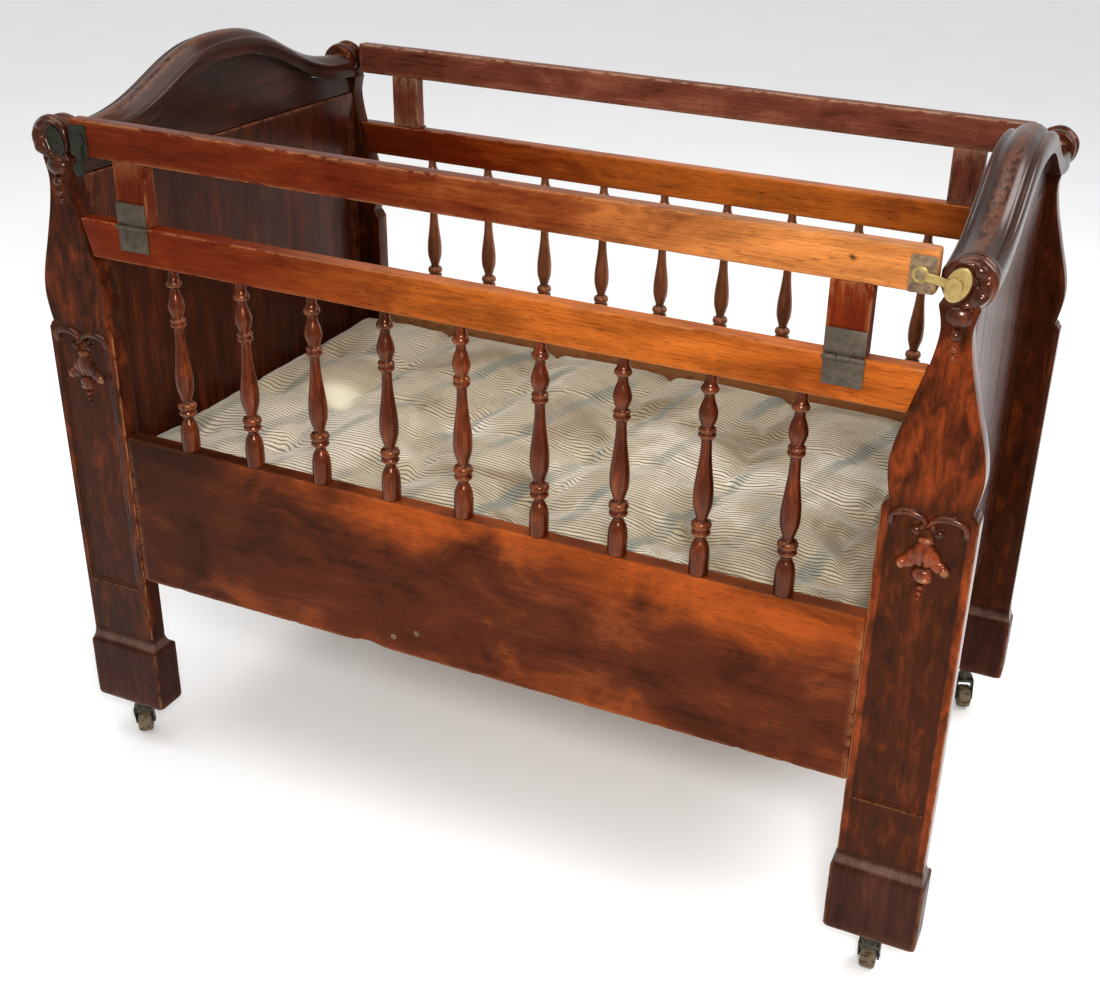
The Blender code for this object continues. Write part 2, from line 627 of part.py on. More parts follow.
def make_keeper_mesh(along, sign):
    """Oval plate on the face of a post, with a headless stud."""
    tilt = math.radians(KEEPER_TILT)
    outline = []
    for a, b in arc((0, 0), 1.0, 0, 342, 19):
        wide, tall = KEEPER_HALF_WIDE * a, KEEPER_HALF_TALL * b
        x = KEEPER_X + wide * math.cos(tilt) + tall * math.sin(tilt)
        z = KEEPER_Z - wide * math.sin(tilt) + tall * math.cos(tilt)
        outline.append((along * x, z))
    oval = bmesh.new()
    add_prism(oval, outline, sign * (POST_FACE + GAP), sign * (POST_FACE + PLATE_THICK), in_front_view)
    stud = bmesh.new()
    add_turned(stud, [(STUD_R, POST_FACE + PLATE_THICK / 2), (STUD_R, ARM_BACK + 0.0022)], 12,
               lambda a, b, height: Vector((along * STUD_X + a, sign * height, STUD_Z + b)))
    return combine("keeper", to_mesh("oval", oval), [("UNION", to_mesh("stud", stud))])


def build_latches(brass):
    closed = math.atan2(STUD_Z - EYE_Z, STUD_X - EYE_X)
    arm = make_arm_mesh()
    for corner, (along, sign) in CORNERS.items():
        hinge = bpy.data.objects["gate_hinge_front" if sign < 0 else "gate_hinge_back"]
        # the front left arm hangs straight down, unhooked, and the others rest on their studs
        angle = -math.pi / 2 if corner == "front_left" else closed
        turned = arm.copy()
        turned.transform(Matrix.Rotation(-angle, 4, "Y"))
        turned = mirrored(turned, along, -sign)
        turned.transform(Matrix.Translation((along * EYE_X, 0, EYE_Z)))
        add_part(f"latch_arm_{corner}", turned, brass, (along * EYE_X, sign * ARM_BACK, EYE_Z), hinge)
        add_part(f"latch_keeper_{corner}", make_keeper_mesh(along, sign), brass)


# ---------------------------------------------------------------- casters
def make_horn_mesh():
    """Caster horn: swivel stem, collar, crown, two prongs and the riveted axle.

    The stem is on the Z axis, and the wheel trails towards +Y.
    """
    crown = bmesh.new()
    collar, waist, foot = 0.0150, 0.0090, 0.0115
    profile = [(STEM_R - 0.0007, STEM_TOP), (STEM_R, STEM_TOP - 0.0015), (STEM_R, BLOCK_LOW - 0.0010),
               (collar, BLOCK_LOW - 0.0010), (collar, BLOCK_LOW - 0.0030),
               (waist + 0.0005, BLOCK_LOW - 0.0045),
               (waist, 0.0575), (foot, 0.0545), (foot, 0.0470)]
    add_turned(crown, profile, 14, lambda a, b, height: Vector((a, b, height)))
    inner, outer = WHEEL_WIDE / 2 + 0.0012, WHEEL_WIDE / 2 + 0.0040
    bridge = bmesh.new()
    add_box(bridge, (-outer, -0.0085, 0.0440), (outer, 0.0135, 0.0500))
    prongs = bmesh.new()
    boss = arc((CASTER_TRAIL, WHEEL_R), 0.0062, -150, 10, 6)
    outline = [(-0.0075, 0.0465)] + boss + [(0.0125, 0.0465)]
    for start, end in ((-outer + 0.0001, -inner), (inner, outer - 0.0001)):
        add_prism(prongs, outline, start, end, in_side_view)
    axle = bmesh.new()
    reach = outer + 0.0009
    profile = [(AXLE_R * 0.7, -reach), (AXLE_R, -reach + 0.0006),
               (AXLE_R, reach - 0.0006), (AXLE_R * 0.7, reach)]
    add_turned(axle, profile, 12, lambda a, b, height: Vector((height, CASTER_TRAIL + a, WHEEL_R + b)))
    return combine("caster_horn", to_mesh("crown", crown), [("UNION", to_mesh("bridge", bridge)),
                                                            ("UNION", to_mesh("prongs", prongs)),
                                                            ("UNION", to_mesh("axle", axle))])


def make_wheel_mesh():
    half = WHEEL_WIDE / 2
    right = [(WHEEL_R, half * 0.45), (WHEEL_R - 0.0008, half - 0.0018), (WHEEL_R - 0.0030, half),
             (AXLE_R + 0.0005, half)]
    loop = [(radius, -across) for radius, across in reversed(right)] + right
    bm = bmesh.new()
    add_ring_turned(bm, loop, 20, lambda a, b, height: Vector((height, CASTER_TRAIL + a, WHEEL_R + b)))
    return to_mesh("caster_wheel", bm)


def build_casters(iron, pale_wheel):
    horn, wheel = make_horn_mesh(), make_wheel_mesh()
    for corner, (along, sign) in CORNERS.items():
        x, y = along * POST_X, sign * CASTER_Y
        swivel = add_pivot(f"caster_swivel_{corner}", (x, y, BLOCK_LOW))
        turn = Matrix.Translation((x, y, 0)) @ Matrix.Rotation(math.radians(CASTER_TURN[corner]), 4, "Z")
        hub = turn @ Vector((0, CASTER_TRAIL, WHEEL_R))
        for label, mesh, material, pivot in (("caster_horn", horn, iron, swivel.location),
                                             ("caster_wheel", wheel, pale_wheel, hub)):
            copy = mesh.copy()
            copy.transform(turn)
            add_part(f"{label}_{corner}", copy, material, pivot, swivel, smooth=35)


def build_crib():
    clear_scene()
    mahogany = make_material("red_mahogany", (0.30, 0.085, 0.025), 0.32)
    post_wood = make_material("post_mahogany", (0.16, 0.035, 0.014), 0.25)
    apron_wood = make_material("flame_veneer", (0.20, 0.045, 0.015), 0.28)
    dark_wood = make_material("dark_mahogany", (0.050, 0.016, 0.010), 0.25)
    spindle_wood = make_material("spindle_mahogany", (0.14, 0.032, 0.014), 0.22)
    plain_wood = make_material("plain_wood", (0.35, 0.22, 0.12), 0.6)
    ticking = make_material("mattress_ticking", (0.72, 0.69, 0.58), 0.9)
    brass = make_material("aged_brass", (0.50, 0.42, 0.20), 0.38, 1.0)
    iron = make_material("dull_iron", (0.14, 0.13, 0.10), 0.5, 1.0)
    pale_wheel = make_material("pale_wheel", (0.42, 0.36, 0.24), 0.5)

    build_posts(post_wood, dark_wood)
    build_sides(mahogany, apron_wood, spindle_wood)
    build_ends(mahogany, dark_wood)
    build_bottom(plain_wood, ticking)
    build_gates(mahogany, iron, brass)
    build_latches(brass)
    build_casters(iron, pale_wheel)


build_crib()
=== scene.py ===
import math

import bmesh
import bpy
import numpy as np
from mathutils import Matrix, Vector, noise


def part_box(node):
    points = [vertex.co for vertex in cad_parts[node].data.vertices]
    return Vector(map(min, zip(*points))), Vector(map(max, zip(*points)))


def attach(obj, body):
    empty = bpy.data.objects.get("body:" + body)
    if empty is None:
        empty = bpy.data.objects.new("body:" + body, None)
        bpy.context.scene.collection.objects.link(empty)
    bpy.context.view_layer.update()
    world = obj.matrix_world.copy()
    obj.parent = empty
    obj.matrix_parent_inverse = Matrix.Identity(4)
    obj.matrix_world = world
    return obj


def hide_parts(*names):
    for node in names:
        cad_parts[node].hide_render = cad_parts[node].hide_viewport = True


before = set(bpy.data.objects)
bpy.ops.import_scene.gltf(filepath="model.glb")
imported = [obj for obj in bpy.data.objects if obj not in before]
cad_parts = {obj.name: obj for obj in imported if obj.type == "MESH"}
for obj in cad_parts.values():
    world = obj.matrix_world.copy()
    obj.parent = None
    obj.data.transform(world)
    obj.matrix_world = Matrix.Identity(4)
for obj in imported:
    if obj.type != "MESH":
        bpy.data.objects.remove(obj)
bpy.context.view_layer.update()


def mm(*pairs):
    """Pairs given in millimetres, in metres."""
    return [(a / 1000, b / 1000) for a, b in pairs]


# ---------------------------------------------------------------- sizes, in metres unless it says mm
POST_X = 0.575                      # centre line of the posts
POST_FACE, POST_BACK = 0.34, 0.312
LEG_HALF, LEG_FOOT, SHOULDER, NECK_TOP = 0.0535, 0.197, 0.6725, 0.909
LYRE = [(0.684, 0.0455), (0.7, 0.049), (0.725, 0.0515), (0.755, 0.0472),
        (0.8, 0.0342), (0.845, 0.022), (0.882, 0.0165), (NECK_TOP, 0.0215)]
KNOB_Z, KNOB_R, KNOB_OUT, KNOB_BACK = 0.9345, 0.029, 0.006, 0.3003
PANEL_HALF, PANEL_LOW, PANEL_SPRING, PANEL_ARCH = 0.0445, 0.279, 0.664, 0.014
# one turned spindle: (height, radius)
SPINDLE = mm(
    (784.5, 6.2), (776, 6.5), (771.5, 7.6), (768.5, 9.4), (766, 10.4), (763.5, 10.4), (761.5, 9.2),
    (759.3, 6.4), (756.5, 6), (752, 6.6), (745, 9), (737, 11), (731, 11), (725, 9.4), (720.5, 7.7),
    (718.5, 8.2), (716.5, 10), (714.5, 10.4), (712.5, 9.6), (710.8, 10), (708.5, 10.5), (706.2, 9.4),
    (704.2, 7.4), (700, 6.3), (690, 6.6), (676, 7.5), (657, 9.8), (644, 11.4), (632, 12.1), (619.5, 11.6),
    (610, 9.2), (602, 6.9), (599.5, 7.8), (597.5, 10.8), (594, 12.3), (590.5, 12), (588.2, 10.2),
    (586.5, 10.4), (583.5, 11.7), (580.8, 10.6), (578.5, 7.5), (575.5, 6.4), (572.5, 7.4), (569, 9.2),
    (564, 10.9), (558, 11.9), (550, 12.3), (528.7, 12.1))
SPINDLE_Y, SPINDLE_PITCH, SPINDLES = 0.327, 0.1049, 9
CREST_BASE, CREST_RISE, CREST_SPREAD, CREST_POWER = 0.947, 0.077, 0.165, 2.6
CREST_END = 0.3
# section of a crest rail, inner foot to outer foot: (outwards from its middle, below its top line)
CREST_SECTION = mm(
    (-28.5, 33.8), (-28.8, 22), (-28.6, 14.5), (-27, 11.2), (-25, 10), (-23.6, 11.2), (-22.2, 12.2),
    (-20, 10.8), (-16, 7.2), (-11.5, 3.6), (-6, 1), (0.5, 0.2), (6.5, 1.2), (11.5, 3.8), (15, 7.2),
    (16.8, 9.8), (18.2, 10.2), (19.8, 8.6), (22.2, 7.6), (25, 8.4), (27.5, 10.8), (28.6, 15), (28.8, 22),
    (28.5, 33.8))
CORNERS = {"front_left": (-1, -1), "front_right": (1, -1), "back_left": (-1, 1), "back_right": (1, 1)}
SIDES = {"front": -1, "back": 1}
ENDS = {"left": -1, "right": 1}
# The dirt level also paints shade in hollows, at the mattress tufts and towards the left end. The wear level also
# paints highlights on the posts' carving. The zone level also paints the cove highlight of the foot blocks and
# lightens the back spindles.
MARKS = ("wear", "dirt", "zone", "polish")      # per-point levels that the materials read
FLOOR_GAP = -0.0003                 # the floor lies just below the wheels


# ---------------------------------------------------------------- curves and numbers
def smooth_curve(knots, steps):
    """Points of a smooth curve through the knots."""
    points = []
    last = len(knots) - 1
    for i in range(last):
        before, start = knots[max(i - 1, 0)], knots[i]
        end, after = knots[i + 1], knots[min(i + 2, last)]
        for s in range(steps):
            t = s / steps
            points.append(tuple(0.5 * (2 * b + (c - a) * t + (2 * a - 5 * b + 4 * c - d) * t * t
                                       + (3 * b - a - 3 * c + d) * t ** 3)
                                for a, b, c, d in zip(before, start, end, after)))
    points.append(tuple(knots[-1]))
    return points


def ease(low, high, value):
    """Smooth step from 0 at low to 1 at high."""
    t = np.clip((value - low) / (high - low), 0.0, 1.0)
    return t * t * (3 - 2 * t)


def ripple(points, size, seed=0.0):
    """Smooth noise from -1 to 1 at each point; size is the length of its waves."""
    shift = Vector((seed * 3.17, seed * 1.31, seed * 2.73))
    return np.array([noise.noise(Vector(p) / size + shift) for p in points])


def dome(x, z, centre, wide, tall, height, turn=0.0):
    """Low oval dome: its height over the points x, z."""
    c, s = math.cos(math.radians(turn)), math.sin(math.radians(turn))
    dx, dz = x - centre[0], z - centre[1]
    a, b = (dx * c + dz * s) / wide, (dz * c - dx * s) / tall
    return height * np.clip(1 - a * a - b * b, 0, 1) ** 0.75


# ---------------------------------------------------------------- meshes
def loft(rings, closed_ends=True):
    """Skin a list of rings of points, which have the same count: (points, faces)."""
    rings = np.asarray(rings, float)
    count, around = rings.shape[:2]
    index = np.arange(count * around).reshape(count, around)
    after = np.roll(index, -1, axis=1)
    quads = np.stack([index[:-1], after[:-1], after[1:], index[1:]], axis=-1).reshape(-1, 4)
    faces = [tuple(q) for q in quads.tolist()]
    if closed_ends:
        faces.append(tuple(index[0][::-1].tolist()))
        faces.append(tuple(index[-1].tolist()))
    return rings.reshape(-1, 3), faces


def join(*shapes):
    """Several (points, faces) as one."""
    points, faces, first = [], [], 0
    for some_points, some_faces in shapes:
        points.append(np.asarray(some_points, float))
        faces += [tuple(i + first for i in face) for face in some_faces]
        first += len(some_points)
    return np.concatenate(points), faces


def mirror(shape, x=1, y=1):
    points, faces = shape
    return points * np.array([x, y, 1.0]), faces


def move(shape, by):
    return shape[0] + np.asarray(by, float), shape[1]


def rows(*columns):
    """Columns of numbers, some of them single numbers, as rows of points."""
    return np.column_stack(np.broadcast_arrays(*columns))


def put_in_scene(name, data):
    made = bpy.data.objects.new(name, data)
    bpy.context.scene.collection.objects.link(made)
    return made


def applied(thing, *spare):
    """The mesh of an object with its modifiers applied; the object and the spare ones are removed."""
    bpy.context.view_layer.update()
    mesh = bpy.data.meshes.new_from_object(thing.evaluated_get(bpy.context.evaluated_depsgraph_get()))
    for used in (thing, *spare):
        bpy.data.objects.remove(used, do_unlink=True)
    return mesh


def to_mesh(name, shape):
    points, faces = shape
    mesh = bpy.data.meshes.new(name)
    mesh.from_pydata(np.asarray(points).tolist(), [], faces)
    bm = bmesh.new()
    bm.from_mesh(mesh)
    bmesh.ops.recalc_face_normals(bm, faces=bm.faces[:])
    bm.to_mesh(mesh)
    bm.free()
    return mesh


def grain_along(points, axis, seed):
    """Texture place of each point in metres: along the grain first, then the two ways across."""
    order = {"x": (0, 1, 2), "y": (1, 0, 2), "z": (2, 0, 1)}[axis]
    shift = np.array([(seed * 0.731) % 7.0, (seed * 1.373) % 5.0, (seed * 2.117) % 3.0])
    return np.asarray(points)[:, order] + shift


def vertices(mesh):
    return np.array([v.co for v in mesh.vertices], float)


def set_attribute(mesh, name, kind, values):
    attribute = mesh.attributes.new(name, kind, "POINT")
    field = "vector" if kind == "FLOAT_VECTOR" else "value"
    attribute.data.foreach_set(field, np.asarray(values, np.float32).ravel())


def add_piece(name, shape, material, body, slot, replaces=(), grain="x", seed=0.0, sharp=32, marks=None,
              **levels):
    """One visible piece: its mesh, material and body; its slot argument is not used.

    Each of MARKS is a level for the whole piece or a function of its points; marks gives several at once.
    """
    mesh = shape if isinstance(shape, bpy.types.Mesh) else to_mesh(name, shape)
    mesh.name = name
    points = vertices(mesh)
    set_attribute(mesh, "grain", "FLOAT_VECTOR", grain_along(points, grain, seed))
    levels.update(marks(points) if marks else {})
    for key in MARKS:
        level = levels.get(key, 0.0)
        level = level(points) if callable(level) else level
        set_attribute(mesh, key, "FLOAT", np.broadcast_to(level, len(points)))
    mesh.materials.append(material)
    mesh.shade_smooth()
    mesh.set_sharp_from_angle(angle=math.radians(sharp))
    piece = put_in_scene(name, mesh)
    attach(piece, body)
    if replaces:
        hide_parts(*replaces)
    return piece


def rounded_ring(low, high, radius, steps=4, margin=0.004, spacing=0.03, spans=None):
    """Outline of a rectangle with round corners, as (a, b) points, denser near its corners."""
    (a0, b0), (a1, b1) = low, high
    ring = []
    corners = [(a1 - radius, b1 - radius), (a0 + radius, b1 - radius),
               (a0 + radius, b0 + radius), (a1 - radius, b0 + radius)]
    for turn, (ca, cb) in enumerate(corners):
        for i in range(steps + 1):
            t = math.radians(90 * turn + 90 * i / steps)
            ring.append((ca + radius * math.cos(t), cb + radius * math.sin(t)))
        na, nb = corners[(turn + 1) % 4]
        t = math.radians(90 * turn + 90)
        start = np.array([ca + radius * math.cos(t), cb + radius * math.sin(t)])
        end = np.array([na + radius * math.cos(t), nb + radius * math.sin(t)])
        length = np.linalg.norm(end - start)
        if spans or length > 3 * margin:
            inner = spans[turn % 2] if spans else max(1, round((length - 2 * margin) / spacing))
            shares = [margin / length + (1 - 2 * margin / length) * i / inner for i in range(inner + 1)]
            ring += [tuple(start + (end - start) * s) for s in shares]
    return np.array(ring)


def board(low, high, radius=0.002, axis="x", step=0.02, uneven=0.0003, seed=0.0, spacing=0.03):
    """A plank with rounded edges and slightly uneven faces, between two corners."""
    order = {"x": (0, 1, 2), "y": (1, 0, 2), "z": (2, 0, 1)}[axis]
    low, high = np.array(low, float), np.array(high, float)
    start, end = low[order[0]], high[order[0]]
    ring = rounded_ring(low[[order[1], order[2]]], high[[order[1], order[2]]], radius, spacing=spacing)
    centre = (low + high)[[order[1], order[2]]] / 2
    half = (high - low)[[order[1], order[2]]] / 2
    stations = [(start + radius * (1 - math.cos(t)), radius * (1 - math.sin(t)))
                for t in (0.0, math.radians(30), math.radians(60), math.radians(90))]
    middle = np.linspace(start + radius, end - radius, max(2, round((end - start) / step)))[1:-1]
    stations += [(m, 0.0) for m in middle]
    stations += [(end - (s - start), inset) for s, inset in reversed(stations[:4])]
    rings = []
    for place, inset in stations:
        scaled = centre + (ring - centre) * (1 - inset / half)
        points = np.zeros((len(ring), 3))
        points[:, order[0]] = place
        points[:, order[1]] = scaled[:, 0]
        points[:, order[2]] = scaled[:, 1]
        rings.append(points)
    points, faces = loft(rings)
    if uneven:
        wave = ripple(points, 0.11, seed) * uneven
        away = points - (low + high) / 2
        away[:, order[0]] = 0
        size = np.maximum(np.linalg.norm(away, axis=1, keepdims=True), 1e-6)
        points = points - away / size * np.abs(wave)[:, None]
    return points, faces


def edge_wear(low, high, reach=0.004, strength=1.0):
    """Attribute function: 1 on the long edges of a box and 0 further than reach from them."""
    low, high = np.array(low, float), np.array(high, float)

    def level(points):
        gap = np.sort(np.minimum(points - low, high - points), axis=1)
        return strength * (1 - ease(0.0, reach, gap[:, 1]))
    return level


def turned(profile, segments=28, centre=(0, 0), axis="z"):
    """Turn (height, radius) pairs about an axis through centre."""
    angles = np.linspace(0, 2 * math.pi, segments, endpoint=False)
    rings = []
    for height, radius in profile:
        a = centre[0] + radius * np.cos(angles)
        b = centre[1] + radius * np.sin(angles)
        rings.append(rows(*{"z": (a, b, height), "y": (a, height, b), "x": (height, a, b)}[axis]))
    return loft(rings)


def plate(outline, back, front, bevel, sign):
    """A flat plate with a bevelled front edge; outline is (x, z), depth is outwards from the crib."""
    outline = np.array(outline, float)
    side = np.roll(outline, -1, axis=0) - np.roll(outline, 1, axis=0)
    normal = np.stack([side[:, 1], -side[:, 0]], axis=1)
    normal /= np.maximum(np.linalg.norm(normal, axis=1, keepdims=True), 1e-9)
    area = np.sum(outline[:, 0] * np.roll(outline[:, 1], -1) - np.roll(outline[:, 0], -1) * outline[:, 1])
    if area < 0:
        normal = -normal
    rings = []
    for inset, depth in ((0, back), (0, front - bevel), (bevel * 0.3, front - bevel * 0.3), (bevel, front)):
        at = outline - normal * inset
        rings.append(rows(at[:, 0], sign * depth, at[:, 1]))
    return loft(rings)


def circle(centre, radius, segments, start=0.0, end=360.0):
    full = abs(end - start) >= 360
    turns = np.radians(np.linspace(start, end, segments, endpoint=not full))
    return [(centre[0] + radius * math.cos(t), centre[1] + radius * math.sin(t)) for t in turns]


# ---------------------------------------------------------------- materials
class Value:
    """An output of a shader node; arithmetic on it adds a Math node."""

    def __init__(self, shader, socket):
        self.shader, self.socket = shader, socket

    def __add__(self, other):
        return self.shader.maths("ADD", self, other)

    def __sub__(self, other):
        return self.shader.maths("SUBTRACT", self, other)

    def __mul__(self, other):
        return self.shader.maths("MULTIPLY", self, other)


class Shader:
    """Builds a node material; its methods give back a Value to use in the next one."""

    def __init__(self, name):
        self.material = bpy.data.materials.new(name)
        self.material.use_nodes = True
        self.tree = self.material.node_tree

    def put(self, socket, value):
        if isinstance(value, Value):
            self.tree.links.new(value.socket, socket)
        elif value is not None:
            socket.default_value = (*value, 1.0) if socket.type == "RGBA" else value

    def node(self, kind, output, settings=None, **inputs):
        """Add a node, fill its inputs by name and give back one output."""
        made = self.tree.nodes.new("ShaderNode" + kind)
        for key, value in (settings or {}).items():
            setattr(made, key, value)
        for key, value in inputs.items():
            self.put(made.inputs[key.replace("_", " ")], value)
        return Value(self, made.outputs[output])

    def attribute(self, name):
        return self.node("Attribute", "Vector" if name == "grain" else "Fac", {"attribute_name": name})

    def noise(self, vector, scale, detail=3.0, rough=0.5, warp=0.0):
        return self.node("TexNoise", "Fac", Vector=vector, Scale=scale, Detail=detail, Roughness=rough,
                         Distortion=warp)

    def streaks(self, along, across, detail, rough=0.5, warp=0.0, third=None):
        """Noise stretched by other scales along and across the grain."""
        scale = (along, across, across if third is None else third)
        place = self.node("Mapping", "Vector", Vector=self.attribute("grain"), Scale=scale)
        return self.noise(place, 1.0, detail, rough, warp)

    def maths(self, operation, a, b=None, c=None, clamp=False):
        made = self.tree.nodes.new("ShaderNodeMath")
        made.operation = operation
        made.use_clamp = clamp
        for socket, value in zip(made.inputs, (a, b, c)):
            self.put(socket, value)
        return Value(self, made.outputs[0])

    def span(self, value, low, high, to_low=0.0, to_high=1.0):
        """Smooth step between low and high."""
        return self.node("MapRange", "Result", {"interpolation_type": "SMOOTHSTEP"}, Value=value,
                         From_Min=low, From_Max=high, To_Min=to_low, To_Max=to_high)

    def mix(self, share, a, b):
        made = self.tree.nodes.new("ShaderNodeMix")
        made.data_type = "RGBA"
        for index, value in ((0, share), (6, a), (7, b)):
            self.put(made.inputs[index], value)
        return Value(self, made.outputs[2])

    def ramp(self, share, stops):
        made = self.tree.nodes.new("ShaderNodeValToRGB")
        made.color_ramp.interpolation = "EASE"
        elements = made.color_ramp.elements
        while len(elements) < len(stops):
            elements.new(0.5)
        for element, (place, colour) in zip(elements, stops):
            element.position = place
            element.color = (*colour, 1.0)
        self.put(made.inputs[0], share)
        return Value(self, made.outputs[0])

    def bump(self, height, strength, distance, below=None):
        return self.node("Bump", "Normal", Height=height, Strength=strength, Distance=distance, Normal=below)

    def finish(self, **inputs):
        surface = self.tree.nodes["Principled BSDF"]
        for key, value in inputs.items():
            self.put(surface.inputs[key.replace("_", " ")], value)
        return self.material


def wood(name, dark, mid, light, figure=0.3, zone_colour=None, worn=(0.36, 0.17, 0.075), gloss=0.22,
         coat=0.04, mottle=(9.0, 26.0), contrast=1.7, shine=0.12, patchy=0.6):
    """Polished old mahogany: long fibres, pores, a cloudy figure, darkened by grime and by painted shade, lightened
    by wear and by painted highlights.
    """
    s = Shader(name)
    wear, dirt, zone, polish = [s.attribute(key) for key in MARKS]
    wavy = s.streaks(2.0, 10.0, 3.0, 0.5, 0.6)
    broad = s.streaks(1.6, 30.0, 5.0, 0.6, 0.9)
    fibre = s.streaks(10.0, 420.0, 4.0, 0.7, 0.3)
    cloud = s.streaks(*mottle, 5.0, 0.6, 0.55)
    pores = s.span(s.streaks(60.0, 1100.0, 2.0), 0.58, 0.68)
    tone = (broad * 0.5 + fibre * 0.5) * (1.0 - figure) + cloud * figure
    tone = s.maths("MULTIPLY_ADD", tone - 0.5, contrast, 0.5)
    colour = s.ramp(tone, [(0.3, dark), (0.5, mid), (0.7, light)])
    if zone_colour is not None:
        warm = s.mix(s.span(tone, 0.3, 0.66), tuple(0.5 * c for c in zone_colour), zone_colour)
        colour = s.mix(s.span(zone + (cloud - 0.5) * patchy, 0.05, 0.95), colour, warm)
    colour = s.mix(pores * 0.5, colour, tuple(0.3 * c for c in dark))
    # Darker towards near black by the dirt level: real grime and dust, and painted shade in hollows and towards the
    # left end.
    grime_and_shade = dirt + (wavy - 0.5) * 0.35
    colour = s.mix(s.span(grime_and_shade, 0.25, 1.0, 0.0, 0.85), colour, (0.01, 0.005, 0.003))
    # Lighter towards the worn colour by the wear level: rubbed wear, and painted highlights on the posts' carved
    # tips and lower ledge.
    scuffed = wear * s.span(s.streaks(46.0, 120.0, 5.0, 0.7, 0.4), 0.41, 0.53)
    bare = s.maths("MAXIMUM", wear - 1.0, 0.0)
    rubbed = s.maths("ADD", scuffed, bare, clamp=True)
    colour = s.mix(rubbed * 0.85, colour, worn)
    rough = s.span(s.streaks(7.0, 30.0, 4.0, 0.6, 0.3), 0.3, 0.7, gloss * 0.75, gloss * 1.45)
    rough = s.maths("ADD", rough, rubbed * 0.3, clamp=True)
    normal = s.bump(fibre * 0.5 + wavy * 0.9 - pores * 0.2, 0.2, 0.0012)
    lacquer = s.maths("MULTIPLY_ADD", polish, 0.44, coat, clamp=True)
    return s.finish(Base_Color=colour, Roughness=rough, Normal=normal, Coat_Roughness=0.2, Coat_Weight=lacquer,
                    Specular_IOR_Level=shine, Specular_Tint=(1.0, 0.47, 0.26))


def metal(name, colour, tarnish, rough, metallic=0.85, share=0.5):
    """Old cast or sheet metal with patchy tarnish and fine scratches."""
    s = Shader(name)
    patch = s.noise(s.attribute("grain"), 95.0, 6.0, 0.65, 0.5)
    fine = s.streaks(300.0, 1400.0, 3.0, 0.6)
    cover = s.span(patch + s.attribute("dirt") * 0.4, 0.86 - share, 1.14 - share)
    shade = s.mix(cover, colour, tarnish)
    shade = s.mix(s.attribute("wear") * 0.6, shade, tuple(min(1.0, 1.5 * c) for c in colour))
    roughness = s.span(fine, 0.3, 0.7, rough * 0.8, rough * 1.2) + cover * 0.22
    return s.finish(Base_Color=shade, Metallic=metallic, Roughness=roughness,
                    Normal=s.bump(patch * 0.7 + fine * 0.2, 0.25, 0.0008))


